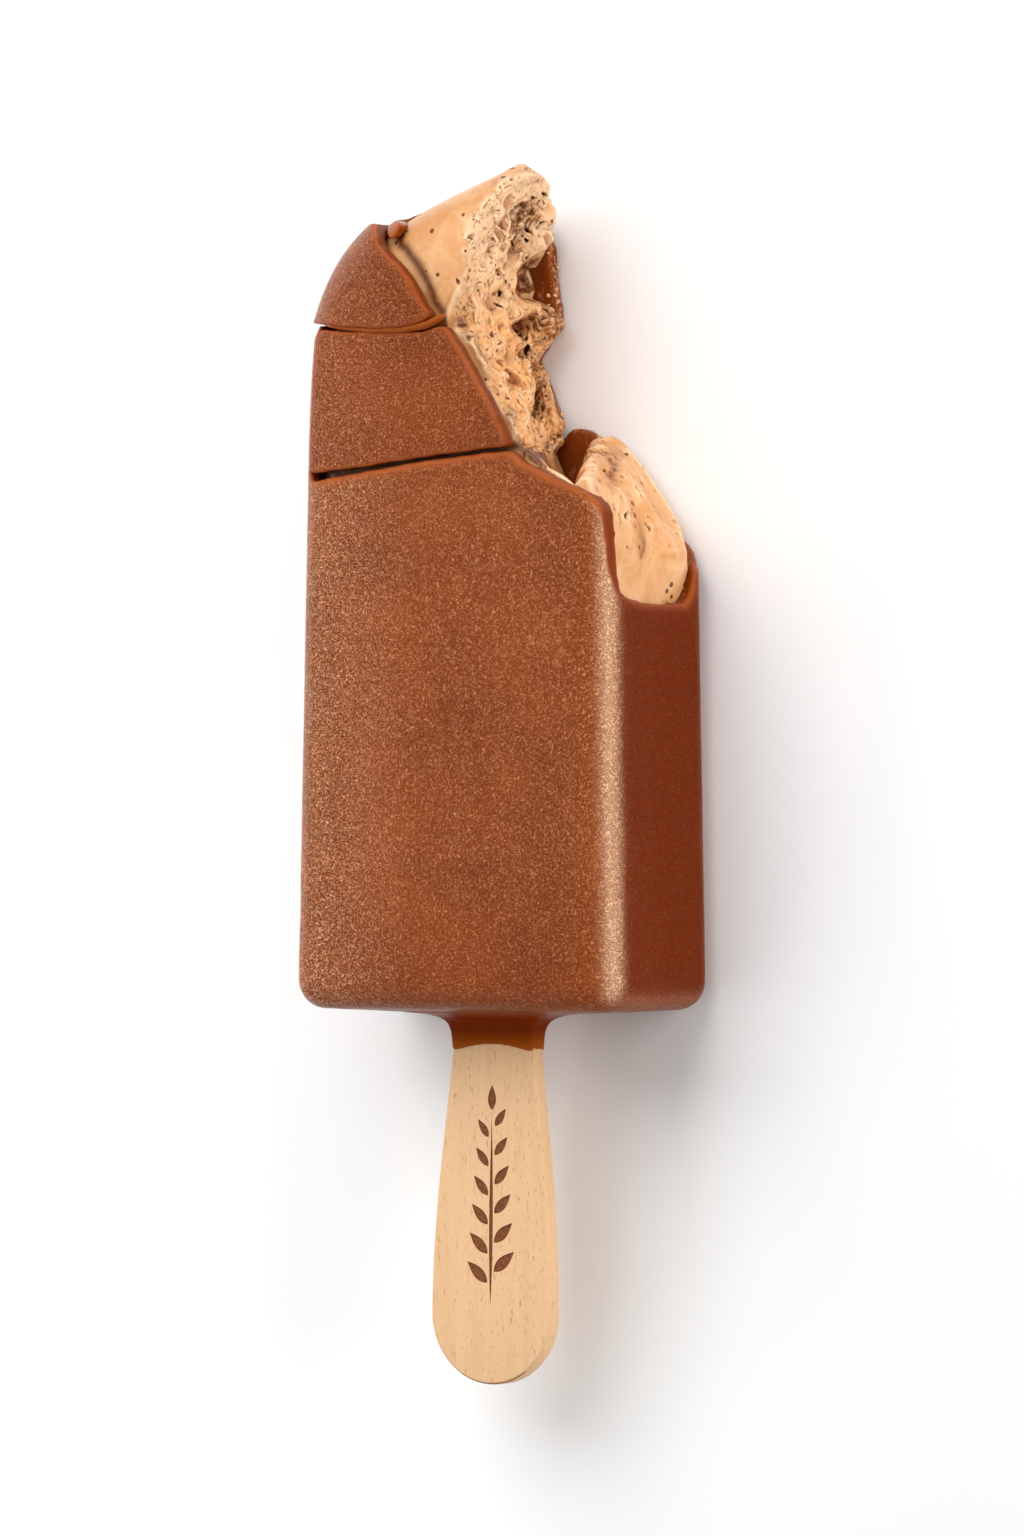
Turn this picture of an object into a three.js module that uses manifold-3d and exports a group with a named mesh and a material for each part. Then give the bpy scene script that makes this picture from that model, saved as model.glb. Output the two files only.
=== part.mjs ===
// A bitten ice cream bar on a wooden stick, lying on its back. Millimetres, +Z up.
//
// The bar is an ice cream core in a chocolate coating. The coating has broken: the main piece still
// wraps the lower bar, the left side and the back, two shards sit on the front of the standing end, and
// the right side is bitten away. While it is built, X runs across the bar, Y along it from its stick end,
// and Z is 0 on its flat back. At the end the whole group moves along Y, so that the origin is under the
// middle of its box.
import * as THREE from 'three';
import { mergeVertices } from 'three/addons/utils/BufferGeometryUtils.js';
import Module from 'manifold-3d';

const wasm = await Module();
wasm.setup();

// ---- driving dimensions ------------------------------------------------------------------------------
const BAR_WIDTH = 48; // at the stick end
const BAR_THICKNESS = 25.8; // at the stick end
const WIDTH_TAPER = 0.038; // of the whole width, for each mm of length
const THICKNESS_TAPER = 0.005; // all of it on the front
const EDGE_RADIUS = 4.5; // of the long edges
const STICK_END_RADIUS = 3.6; // of the edge round the stick end
const STICK_END_SAG = 0.5; // how far the middle of the stick end stands proud of its rim
const STICK_END_RIM = 0.1; // where that rim lies
const DOME_START = 84; // where the sides begin to close in
const DOME_HEIGHT = 24.3; // from there to the tip of the coating
const LEAN_START = 68; // above it the bitten end has bent over to the right
const LEAN = 3.4; // sideways at the tip

const COATING = 2.1;
const GAP = 0.3; // between pieces that touch
const CORE_INSET = COATING + GAP;

const STICK_LENGTH = 96;
const STICK_SHOWN = 46.8; // beyond the stick end of the bar
const STICK_THICKNESS = 2.5;
const STICK_NECK = 11.4; // its width in the bar
const STICK_PADDLE = 17.5; // its width at the round end
const STICK_OFFSET = -0.5; // of its middle from the bar's
const STICK_TURN = -0.6; // degrees
const COLLAR_LENGTH = 4.8; // of the chocolate that has run down the stick
const COLLAR_FILM = 0.5;
const FLARE_WIDTH = 18.4; // of the fillet between collar and bar
const FLARE_THICKNESS = 9;

const MIDDLE_SHARD_LIFT = 0.4; // how far each shard stands off its place
const TOP_SHARD_LIFT = 0.9;

const MID_Z = BAR_THICKNESS / 2;
const FAR = 60; // beyond the bar on any side

const FINISHES = {
  chocolate: { color: 0x8a4e2c, roughness: 0.42 },
  iceCream: { color: 0xdfb183, roughness: 0.6 },
  wood: { color: 0xe6c49a, roughness: 0.7 },
};

// ---- solids from closed meshes -----------------------------------------------------------------------
function solid(geometry) {
  const bare = geometry.clone();
  for (const name of ['normal', 'uv']) bare.deleteAttribute(name);
  const merged = mergeVertices(bare, 1e-4);
  const mesh = new wasm.Mesh({
    numProp: 3,
    vertProperties: Float32Array.from(merged.attributes.position.array),
    triVerts: Uint32Array.from(merged.index.array),
  });
  return new wasm.Manifold(mesh);
}

function namedMesh(name, body, finish) {
  const { vertProperties, triVerts } = body.getMesh();
  const geometry = new THREE.BufferGeometry();
  geometry.setAttribute('position', new THREE.BufferAttribute(Float32Array.from(vertProperties), 3));
  geometry.setIndex(new THREE.BufferAttribute(Uint32Array.from(triVerts), 1));
  geometry.computeVertexNormals();
  const mesh = new THREE.Mesh(geometry, new THREE.MeshStandardMaterial(finish));
  mesh.name = name;
  return mesh;
}

function largestPiece(body) {
  return body.decompose().sort((a, b) => b.volume() - a.volume())[0];
}

// Moves every vertex of a geometry to where place(x, y, z) puts it.
function remapped(geometry, place) {
  const at = geometry.attributes.position;
  for (let i = 0; i < at.count; i++) {
    const [x, y, z] = place(at.getX(i), at.getY(i), at.getZ(i));
    at.setXYZ(i, x, y, z);
  }
  return geometry;
}

// ---- the moulded bar ---------------------------------------------------------------------------------
const SIDE_STEPS = 2;
const ARC_STEPS = 8;
const FACE_STEPS = 3;
const QUARTER_STEPS = SIDE_STEPS + ARC_STEPS + FACE_STEPS;

function lerp(a, b, share) {
  return a + (b - a) * share;
}

function clamp01(value) {
  return Math.min(1, Math.max(0, value));
}

// The bend of the bitten end, as a shift in X.
function leanAt(y) {
  const rise = Math.max(0, y - LEAN_START) / (DOME_START + DOME_HEIGHT - LEAN_START);
  return LEAN * rise * rise;
}

// A point of a quarter of a rounded rectangle, from the middle of its side (step 0) to that of its face.
function quarterPoint(step, { halfX, halfZ, cornerX, cornerZ }) {
  if (step <= SIDE_STEPS) return [halfX, ((halfZ - cornerZ) * step) / SIDE_STEPS];
  if (step >= SIDE_STEPS + ARC_STEPS) {
    return [((halfX - cornerX) * (QUARTER_STEPS - step)) / FACE_STEPS, halfZ];
  }
  const angle = ((step - SIDE_STEPS) / ARC_STEPS) * (Math.PI / 2);
  return [halfX - cornerX + cornerX * Math.cos(angle), halfZ - cornerZ + cornerZ * Math.sin(angle)];
}

// A point round a whole section: its quarters run -X to +Z, +Z to +X, +X to -Z and -Z to -X, as the
// rings of a sphere do.
function sectionPoint(around, section) {
  const quarter = Math.floor(around / QUARTER_STEPS) % 4;
  const along = around % QUARTER_STEPS;
  const [x, z] = quarterPoint(quarter % 2 ? QUARTER_STEPS - along : along, section);
  return [quarter === 1 || quarter === 2 ? x : -x, quarter < 2 ? z : -z];
}

function sectionAt(y, inset, edge, closing) {
  const halfX = BAR_WIDTH / 2 - (WIDTH_TAPER / 2) * y - inset - edge;
  const halfZ = (BAR_THICKNESS - THICKNESS_TAPER * y) / 2 - inset - edge;
  const corner = Math.max(0.3, EDGE_RADIUS - inset - edge);
  const round = clamp01(closing) ** 0.8;
  const domeX = halfX * (1 - closing ** 3) * (1 - closing ** 8);
  const domeZ = halfZ * (1 - closing ** 5);
  return {
    halfX: domeX,
    halfZ: domeZ,
    cornerX: Math.min(domeX, lerp(corner, domeX, round)),
    cornerZ: Math.min(domeZ, lerp(corner, domeZ, round)),
  };
}

// The rings of the bar from its tip to its stick end, an inset inside the moulded surface.
function barRings(inset) {
  const rings = [];
  const domeHeight = DOME_HEIGHT - inset;
  for (const closing of [1, 0.985, 0.955, 0.915, 0.87, 0.82, 0.76, 0.69, 0.61, 0.52, 0.42, 0.3, 0.16]) {
    rings.push({ y: DOME_START + domeHeight * closing, edge: 0, closing });
  }
  const radius = Math.max(1, STICK_END_RADIUS - inset);
  const bottom = inset + STICK_END_RIM;
  for (const share of [1, 0.75, 0.5, 0.25]) {
    rings.push({ y: lerp(bottom + radius, DOME_START, share), edge: 0, closing: 0 });
  }
  for (const turn of [0, 22.5, 45, 67.5, 90]) {
    const angle = THREE.MathUtils.degToRad(turn);
    const edge = radius * (1 - Math.cos(angle));
    rings.push({ y: bottom + radius * (1 - Math.sin(angle)), edge, closing: 0 });
  }
  return rings.concat([{ y: bottom - 0.9 * STICK_END_SAG, edge: radius, closing: 0, scale: 0.5 },
    { y: bottom - STICK_END_SAG, edge: radius, closing: 0, scale: 0 }]);
}

function bar(inset, shape = (x, y, z) => [x, y, z]) {
  const rings = barRings(inset);
  const around = 4 * QUARTER_STEPS;
  const sphere = new THREE.SphereGeometry(1, around, rings.length - 1);
  const at = sphere.attributes.position;
  for (let i = 0; i < at.count; i++) {
    const ring = rings[Math.floor(i / (around + 1))];
    const [x, z] = sectionPoint(i % (around + 1), sectionAt(ring.y, inset, ring.edge, ring.closing));
    const scale = ring.scale ?? 1;
    const middleZ = (BAR_THICKNESS - THICKNESS_TAPER * ring.y) / 2;
    at.setXYZ(i, ...shape(x * scale + leanAt(ring.y), ring.y, middleZ + z * scale));
  }
  return solid(sphere);
}

// ---- prisms that part the coating --------------------------------------------------------------------
// An outline in X and Y, cut through from one height to another.
function prismZ(outline, fromZ, toZ) {
  const shape = new THREE.Shape(outline.map(([x, y]) => new THREE.Vector2(x, y)));
  const geometry = new THREE.ExtrudeGeometry(shape, { depth: toZ - fromZ, bevelEnabled: false });
  return solid(geometry.translate(0, 0, fromZ));
}

// An outline in Z and Y, cut through from one X to another.
function prismX(outline, fromX, toX) {
  const shape = new THREE.Shape(outline.map(([z, y]) => new THREE.Vector2(-z, y)));
  const geometry = new THREE.ExtrudeGeometry(shape, { depth: toX - fromX, bevelEnabled: false });
  return solid(geometry.rotateY(Math.PI / 2).translate(fromX, 0, 0));
}

// Where the front of the main piece has broken, from its left edge to the right-hand long edge.
const FRONT_RIM = [
  [-20.9, 66], [-12, 67.3], [-3.8, 68.4], [1.7, 68.8], [4.5, 69.2], [9.2, 69.4], [10.5, 68],
  [13, 67], [16.6, 65.4], [19.9, 64], [21.1, 62.9], [21.7, 61.5],
];
// Where its right side has broken, from the front to the back, as Z and Y.
const SIDE_RIM = [
  [MID_Z + 8.5, 51.5], [MID_Z + 3.9, 50.7], [MID_Z - 2.2, 50.5], [MID_Z - 5, 50.8], [MID_Z - 6.7, 50.6],
  [MID_Z - 7.5, 51.2], [MID_Z - 8.2, 52.3], [MID_Z - 9, 54],
];
// Where its back has broken, from the tall strip behind the standing end to the right-hand long edge.
const BACK_RIM = [
  [-FAR, 99.4], [-15, 99.4], [-11.5, 100.5], [-5, 101.2], [-1, 100], [0.2, 98.8], [0.5, 94.4],
  [0.9, 90.2], [1.8, 86], [-2, 81.9], [-0.7, 79], [0.5, 76.7], [1.7, 73.3], [1.2, 72.5], [-1.6, 72.8],
  [-1.5, 71.3], [1, 70], [1.3, 69.8], [2.4, 71.7], [3.4, 73], [5.7, 72.9], [7.3, 71.7], [12, 66.6],
  [16.4, 61.1], [18.8, 59], [20.8, 57.3],
];
const CORNER_BACK_Z = MID_Z - 8.2; // behind it the back outline cuts, before it the side outline
const CORNER_FRONT_Z = MID_Z + 7.5;
const SEAM_FOOT_X = -20.9; // the crack down the left long edge, at its foot and where it meets the dome
const SEAM_TOP_X = -19.7;
const DOME_SEAM_Y = 84.7; // the crack between the two shards
const DOME_SEAM_Z = MID_Z - 1; // behind it the dome still belongs to the main piece

// The back's broken rim stands proud of the dome at its top left.
function proudRim(x, y, z) {
  const push = 1.5 * bump(Math.hypot(x + 15.5, y - 98.5) / 4) * clamp01((z - 4) / 6);
  return [x - 0.75 * push, y + 0.65 * push, z];
}

function coatingMain(stickHole) {
  const shell = bar(0, proudRim).subtract(bar(COATING));
  const overFront = prismZ(
    [...FRONT_RIM, [FAR, 61.5], [FAR, 2 * FAR], [SEAM_TOP_X, 2 * FAR], [SEAM_TOP_X, DOME_SEAM_Y]],
    CORNER_FRONT_Z, FAR,
  );
  const overDome = prismZ(
    [[-FAR, DOME_SEAM_Y + 1], [-21, DOME_SEAM_Y + 1], [-17, DOME_SEAM_Y + 0.4], [-12, DOME_SEAM_Y],
      [FAR, DOME_SEAM_Y], [FAR, 2 * FAR], [-FAR, 2 * FAR]], DOME_SEAM_Z, FAR,
  );
  const overSide = prismX(
    [...SIDE_RIM, [CORNER_BACK_Z - 1, 54.6], [CORNER_BACK_Z - 1, 2 * FAR], [CORNER_FRONT_Z + 1, 2 * FAR]],
    12, FAR,
  );
  const overCorner = prismZ(
    [[22.6, 51.4], [21.7, 61.5], [21.4, 66], [FAR, 66], [FAR, 51.4]], CORNER_FRONT_Z - 1, FAR,
  );
  const overBack = prismZ(
    [...BACK_RIM, [22, 55.2], [FAR, 53], [FAR, 2 * FAR], [-FAR, 2 * FAR]], -FAR, CORNER_BACK_Z,
  );
  const overMiddle = prismZ(
    [...BACK_RIM.slice(0, 5), [-1, 70], [12, 60], [12, 2 * FAR], [-FAR, 2 * FAR]],
    CORNER_BACK_Z - 1, CORNER_FRONT_Z + 1,
  );
  const broken = [overFront, overDome, overSide, overCorner, overBack, overMiddle]
    .reduce((whole, cutter) => whole.subtract(cutter), shell);
  return largestPiece(broken.add(collar()).subtract(stickHole));
}

// The chocolate on the stick, and the fillet up to the bar.
function collar() {
  const half = (width) => width / 2 + GAP + COLLAR_FILM;
  const neck = [half(STICK_NECK), half(STICK_THICKNESS)];
  const levels = [
    [-COLLAR_LENGTH, ...neck], [-3.2, ...neck], [-1.9, neck[0] + 0.15, neck[1] + 0.15],
    [-1, neck[0] + 0.9, neck[1] + 0.8], [-0.4, FLARE_WIDTH / 2, FLARE_THICKNESS / 2],
    [1.6, FLARE_WIDTH / 2, 5],
  ];
  const tube = new THREE.CylinderGeometry(1, 1, levels.length - 1, 32, levels.length - 1);
  const placed = remapped(tube, (x, level, z) => {
    const [y, halfX, halfZ] = levels[Math.round(level + (levels.length - 1) / 2)];
    const square = 1 / Math.max(1e-6, (Math.abs(x) ** 3 + Math.abs(z) ** 3)) ** (1 / 3);
    const reach = Math.hypot(x, z) > 0.5 ? square : 0;
    return [x * reach * halfX + STICK_OFFSET, y, z * reach * halfZ + MID_Z];
  });
  return solid(placed);
}

// ---- shards on the front -----------------------------------------------------------------------------
const MIDDLE_SHARD = [
  [SEAM_FOOT_X + GAP + 0.6, 67.1], [-12, 67.8], [-3.8, 68.8], [4.5, 69.6], [9, 69.9], [6, 75.6], [2.3, 81.3],
  [-0.6, 85.2], [-3, 84.4], [-10, 84.3], [-17, 84.9], [SEAM_TOP_X + GAP, 85.2], [SEAM_FOOT_X + GAP, 67.7],
];
const TOP_SHARD = [
  [-FAR, 86], [-21, 86], [-17, 85.4], [-10, 84.8], [-4.5, 85.1], [-2, 86.2], [-3.4, 87.7], [-4.7, 90],
  [-6.7, 92.4], [-9.1, 94.3], [-10.4, 95.1], [-11.6, 96.8], [-13.2, 98.2], [-FAR, 98.8],
];

// A scrap of coating left on the ice cream behind the top shard.
const FLAKE = [[-12.2, 98.1], [-11, 96.9], [-10, 95.9], [-8.8, 97.2], [-9.6, 98.4], [-11.2, 98.7]];
const FLAKE_THICKNESS = 1.3;

function shard(outline, lift, fromZ, thickness = COATING) {
  const slab = bar(-lift).subtract(bar(thickness - lift));
  return largestPiece(slab.intersect(prismZ(outline, fromZ, FAR)));
}

function flake() {
  return shard(FLAKE, FLAKE_THICKNESS - COATING, MID_Z + 1, FLAKE_THICKNESS);
}

// ---- the ice cream -----------------------------------------------------------------------------------
// Soft seeded unevenness: a few crossed waves, about as wide as they are told.
function waves(u, v, width, seed) {
  const turn = (2 * Math.PI) / width;
  const broad = Math.sin(turn * (u + 0.31 * v) + seed) * Math.cos(turn * 0.83 * (v - 0.22 * u) + 2.1 * seed);
  const fine = Math.sin(turn * 1.9 * (v + 0.4 * u) + 3.7 * seed) *
    Math.cos(turn * 1.7 * (u - 0.35 * v) + 1.3 * seed);
  return (broad + 0.6 * fine) / 1.6;
}

function bump(distance) {
  return Math.exp(-distance * distance);
}

// Where the torn face meets the front and the back of the standing end, as Y and X.
const TEAR_FRONT = [
  [60, 12], [70, 9.2], [76, 6.2], [82, 2.6], [86, 0], [92, 1.3], [98, 2.2], [104, 4.8], [112, 9],
];
const TEAR_BACK = [
  [60, 2], [70, 0.2], [76, -0.9], [81.5, -2.2], [86, 0.4], [92, -0.8], [98, -0.8], [102, 1.8], [105, 5],
  [112, 9],
];
// Hollows (negative) and lumps on the torn face: middle Y and Z, half sizes, and height.
const TEAR_FORMS = [
  { y: 96, z: MID_Z - 3, halfY: 1.6, halfZ: 2.2, height: -2.4 },
  { y: 97.5, z: MID_Z - 8.2, halfY: 2.2, halfZ: 1.8, height: 2 },
  { y: 91.5, z: MID_Z - 8.4, halfY: 3, halfZ: 1.6, height: -2.6 },
  { y: 86, z: MID_Z - 2.4, halfY: 1.7, halfZ: 2.4, height: -2.6 },
  { y: 86.2, z: MID_Z - 8.4, halfY: 2.4, halfZ: 2.4, height: 2.4 },
  { y: 78.6, z: MID_Z - 4.2, halfY: 2.2, halfZ: 2, height: 1.5 },
  { y: 75, z: MID_Z - 5.2, halfY: 2.8, halfZ: 1.8, height: -2.2 },
  { y: 73.8, z: MID_Z - 9, halfY: 2.4, halfZ: 1.6, height: 2.4 },
];

function along(table, at) {
  const next = Math.max(1, table.findIndex(([y]) => y >= at));
  const [y0, x0] = table[next - 1];
  const [y1, x1] = table[next];
  return lerp(x0, x1, clamp01((at - y0) / (y1 - y0)));
}

// The torn face of the standing end: how far the ice cream reaches in X.
function tornFace(y, z) {
  const share = clamp01((z - CORE_INSET) / (BAR_THICKNESS - 2 * CORE_INSET));
  let x = lerp(along(TEAR_BACK, y), along(TEAR_FRONT, y), share);
  for (const form of TEAR_FORMS) {
    x += form.height * bump(Math.hypot((y - form.y) / form.halfY, (z - form.z) / form.halfZ));
  }
  return x + 0.75 * waves(y, z, 8, 1.3) + 0.3 * waves(z, y, 4.2, 4.1);
}

const LUMP_BACK = { x: 9.4, y: 71.8, z: MID_Z - 7 }; // the ends of the crest of the lump on the right
const LUMP_FRONT = { x: 16.4, y: 66.6, z: MID_Z + 9.5 };
const LUMP_SHOULDER = 18.8; // where its right side turns down, in X

// The bitten top of the lower bar: the hollow beside the standing end, and the smooth lump on its right.
function bittenTop(x, z) {
  const share = clamp01((z - LUMP_BACK.z) / (LUMP_FRONT.z - LUMP_BACK.z));
  const crest = { x: lerp(LUMP_BACK.x, LUMP_FRONT.x, share), y: lerp(LUMP_BACK.y, LUMP_FRONT.y, share) };
  const right = Math.max(0, x - crest.x - 1);
  const left = Math.max(0, crest.x - x);
  const shoulder = 2 * Math.max(0, x - LUMP_SHOULDER) ** 1.5;
  const lump = crest.y - 0.85 * right ** 1.28 - shoulder - 1.1 * left ** 2 + 0.35 * waves(x, z, 6, 2.2);
  const footX = lerp(1.4, 9.6, clamp01((z - CORE_INSET) / (BAR_THICKNESS - 2 * CORE_INSET)));
  const slope = lerp(1.7, 0.62, share);
  const floor = lerp(64.6, 63.6, share);
  const hollow = Math.max(floor, 69.7 - slope * Math.max(0, x - footX)) + 0.3 * waves(x, z, 4.5, 5.6);
  return x < crest.x ? Math.max(lump, hollow) : lump;
}

function bite() {
  const [fromY, toY, fromZ, toZ] = [48, 112, -2, 28];
  const tower = new THREE.BoxGeometry(2 * FAR, toY - fromY, toZ - fromZ, 1, 56, 26);
  remapped(tower, (x, y, z) => {
    const placed = [y + (fromY + toY) / 2, z + (fromZ + toZ) / 2];
    return [x < 0 ? tornFace(...placed) : FAR, ...placed];
  });
  const lower = new THREE.BoxGeometry(30, 2 * FAR, toZ - fromZ, 24, 1, 24);
  remapped(lower, (x, y, z) => {
    const placed = [x + 12, z + (fromZ + toZ) / 2];
    return [placed[0], y < 0 ? bittenTop(...placed) : 2 * FAR, placed[1]];
  });
  return solid(tower).intersect(solid(lower));
}

// The side of the lump has been pushed out a little where no coating holds it.
function pushedOut(x, y, z) {
  const push = x > 0 ? 1.1 * bump((y - 57) / 4.5) * bump((z - MID_Z + 3.5) / 4) : 0;
  return [x + push, y, z];
}

function iceCream(stickHole) {
  return largestPiece(bar(CORE_INSET, pushedOut).subtract(bite()).subtract(stickHole));
}

// ---- the stick ---------------------------------------------------------------------------------------
function stickBody(grow) {
  const neck = STICK_NECK / 2 + grow;
  const paddle = STICK_PADDLE / 2 + grow;
  const inner = STICK_LENGTH - STICK_SHOWN - STICK_NECK / 2;
  const outer = STICK_PADDLE / 2 - STICK_SHOWN;
  const outline = new THREE.Shape();
  outline.moveTo(neck, 0);
  outline.lineTo(neck, inner);
  outline.absarc(0, inner, neck, 0, Math.PI, false);
  outline.lineTo(-neck, 0);
  outline.bezierCurveTo(-neck, -8, -paddle, -22, -paddle, outer);
  outline.absarc(0, outer, paddle, Math.PI, 2 * Math.PI, false);
  outline.bezierCurveTo(paddle, -22, neck, -8, neck, 0);
  const edge = grow > 0 ? 0 : 0.35;
  const geometry = new THREE.ExtrudeGeometry(outline, {
    depth: STICK_THICKNESS + 2 * grow - 2 * edge,
    curveSegments: 14,
    bevelEnabled: edge > 0,
    bevelThickness: edge,
    bevelSize: edge,
    bevelOffset: -edge,
    bevelSegments: 2,
  });
  geometry.translate(0, 0, edge - STICK_THICKNESS / 2 - grow);
  geometry.rotateZ(THREE.MathUtils.degToRad(STICK_TURN));
  return solid(geometry.translate(STICK_OFFSET, 0, MID_Z));
}

// ---- the whole bar -----------------------------------------------------------------------------------
const stickHole = stickBody(GAP);
const group = new THREE.Group();
group.add(
  namedMesh('ice_cream', iceCream(stickHole), FINISHES.iceCream),
  namedMesh('coating_main', coatingMain(stickHole), FINISHES.chocolate),
  namedMesh('coating_shard_middle', shard(MIDDLE_SHARD, MIDDLE_SHARD_LIFT, MID_Z), FINISHES.chocolate),
  namedMesh('coating_shard_top', shard(TOP_SHARD, TOP_SHARD_LIFT, DOME_SEAM_Z + GAP), FINISHES.chocolate),
  namedMesh('coating_flake', flake(), FINISHES.chocolate),
  namedMesh('stick', stickBody(0), FINISHES.wood),
);
const box = new THREE.Box3().setFromObject(group);
group.position.set(-(box.min.x + box.max.x) / 2, -(box.min.y + box.max.y) / 2, -box.min.z);

export default group;
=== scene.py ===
"""Dresses the bitten ice cream bar and sets it in its studio.

Every piece is modelled in millimetres in the bar's own frame, where X runs across the bar, Y along it from
its stick end and Z up from its flat back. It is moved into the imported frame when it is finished.
"""

import logging
import math
from dataclasses import dataclass, field
from enum import Enum
from typing import Callable, Sequence

import bmesh
import bpy
import numpy as np
from mathutils import Matrix, Vector, noise
from mathutils.bvhtree import BVHTree


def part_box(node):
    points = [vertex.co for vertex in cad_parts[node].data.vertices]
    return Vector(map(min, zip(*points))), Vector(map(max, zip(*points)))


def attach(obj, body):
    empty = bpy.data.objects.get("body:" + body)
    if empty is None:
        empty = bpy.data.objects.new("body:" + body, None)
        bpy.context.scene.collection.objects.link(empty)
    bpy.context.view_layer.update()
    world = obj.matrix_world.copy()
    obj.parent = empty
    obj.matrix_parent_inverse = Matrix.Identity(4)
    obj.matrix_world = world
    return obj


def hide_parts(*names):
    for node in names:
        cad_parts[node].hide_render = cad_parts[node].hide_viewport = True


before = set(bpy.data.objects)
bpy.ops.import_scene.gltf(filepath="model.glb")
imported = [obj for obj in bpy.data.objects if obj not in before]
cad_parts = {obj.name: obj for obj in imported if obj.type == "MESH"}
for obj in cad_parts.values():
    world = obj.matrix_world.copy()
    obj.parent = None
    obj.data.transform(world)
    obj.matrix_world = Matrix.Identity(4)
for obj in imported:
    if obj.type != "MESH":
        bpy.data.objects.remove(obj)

LOG = logging.getLogger("ice_cream_bar")
MM = 0.001
FAR = 60.0  # beyond the bar on any side, in mm
STICK_SHOWN = 46.8  # length of the stick outside the bar, in mm
COATING = 2.1  # thickness of the coating, in mm
BODY = "root"
NOISE_SEED = 3  # without one the torn face would be another on each run

Point = tuple[float, float]
Place = Callable[[float, float, float], Sequence[float]]
Marker = Callable[[np.ndarray], np.ndarray]  # gives a number for each row of vertex places


class Join(Enum):
    """How one solid is combined with another."""

    UNITE = "UNION"
    CUT = "DIFFERENCE"
    KEEP = "INTERSECT"


class Axis(Enum):
    """The direction that an outline is cut through in."""

    X = 0
    Z = 2


# ---- numbers -------------------------------------------------------------------------------------


def lerp(a: float, b: float, share: float) -> float:
    """Return the value that lies a share of the way from a to b."""
    return a + (b - a) * share


def clamp01(value: float) -> float:
    """Return value, held between 0 and 1."""
    return min(1.0, max(0.0, value))


def ramp(value: float, start: float, end: float) -> float:
    """Return a smooth step from 0 at start to 1 at end; start may be the larger."""
    share = clamp01((value - start) / (end - start))
    return share * share * (3 - 2 * share)


def bump(distance: float) -> float:
    """Return a soft round bump: 1 at no distance, and next to nothing beyond 2."""
    return math.exp(-distance * distance)


def along(table: Sequence[Point], at: float) -> float:
    """Read a table, with rows of a growing place and its value, at a place between them."""
    return float(np.interp(at, [row[0] for row in table], [row[1] for row in table]))


def waves(u: float, v: float, width: float, seed: float) -> float:
    """Return soft seeded unevenness of about -1 to 1.

    Args:
        u: First coordinate, in mm.
        v: Second coordinate, in mm.
        width: About how wide each wave is, in mm.
        seed: Which pattern.

    Returns:
        The height at that place.
    """
    turn = 2 * math.pi / width
    broad = math.sin(turn * (u + 0.31 * v) + seed) * math.cos(turn * 0.83 * (v - 0.22 * u) + 2.1 * seed)
    fine = math.sin(turn * 1.9 * (v + 0.4 * u) + 3.7 * seed)
    fine *= math.cos(turn * 1.7 * (u - 0.35 * v) + 1.3 * seed)
    return (broad + 0.6 * fine) / 1.6


def softened(points: Sequence[Point], step: float, rounds: int) -> list[Point]:
    """Resample a broken line evenly and soften its corners.

    Args:
        points: The corners of the line.
        step: Distance between the new points, in mm.
        rounds: How often each point is drawn between its neighbours.

    Returns:
        The new points, with the first and last where they were.
    """
    corners = np.array(points, float)
    reach = np.concatenate([[0.0], np.cumsum(np.linalg.norm(np.diff(corners, axis=0), axis=1))])
    at = np.linspace(0, reach[-1], max(2, math.ceil(reach[-1] / step)) + 1)
    line = np.stack([np.interp(at, reach, corners[:, 0]), np.interp(at, reach, corners[:, 1])], axis=1)
    for _ in range(rounds):
        line[1:-1] = (line[:-2] + 2 * line[1:-1] + line[2:]) / 4
    return [(float(x), float(y)) for x, y in line]


# ---- meshes --------------------------------------------------------------------------------------


def new_piece(name: str, bm: bmesh.types.BMesh) -> bpy.types.Object:
    """Turn a bmesh into an object and free the bmesh.

    Args:
        name: The piece's name.
        bm: Its shape.

    Returns:
        The object, linked to the scene.
    """
    mesh = bpy.data.meshes.new(name)
    bm.to_mesh(mesh)
    bm.free()
    piece = bpy.data.objects.new(name, mesh)
    bpy.context.scene.collection.objects.link(piece)
    return piece


def settle(piece: bpy.types.Object) -> None:
    """Apply a piece's modifiers to its mesh."""
    graph = bpy.context.evaluated_depsgraph_get()
    mesh = bpy.data.meshes.new_from_object(piece.evaluated_get(graph), depsgraph=graph)
    old = piece.data
    piece.modifiers.clear()
    piece.data = mesh
    bpy.data.meshes.remove(old)


def discard(piece: bpy.types.Object) -> None:
    """Remove an object and its mesh."""
    mesh = piece.data
    bpy.data.objects.remove(piece)
    bpy.data.meshes.remove(mesh)


def solid_piece(name: str, bm: bmesh.types.BMesh) -> bpy.types.Object:
    """Turn a bmesh into an object of triangles that face outwards.

    Args:
        name: The piece's name.
        bm: Its shape, a closed one.

    Returns:
        The object, linked to the scene.
    """
    bmesh.ops.triangulate(bm, faces=bm.faces[:], ngon_method="EAR_CLIP")
    bmesh.ops.recalc_face_normals(bm, faces=bm.faces[:])
    return new_piece(name, bm)


def combine(piece: bpy.types.Object, tool: bpy.types.Object, join: Join) -> None:
    """Combine a piece with a tool solid, which is used up.

    Args:
        piece: The piece that is changed.
        tool: The solid it is combined with.
        join: How.
    """
    modifier = piece.modifiers.new("combine", "BOOLEAN")
    modifier.operation = join.value
    modifier.solver = "MANIFOLD"
    modifier.object = tool
    settle(piece)
    discard(tool)


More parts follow.
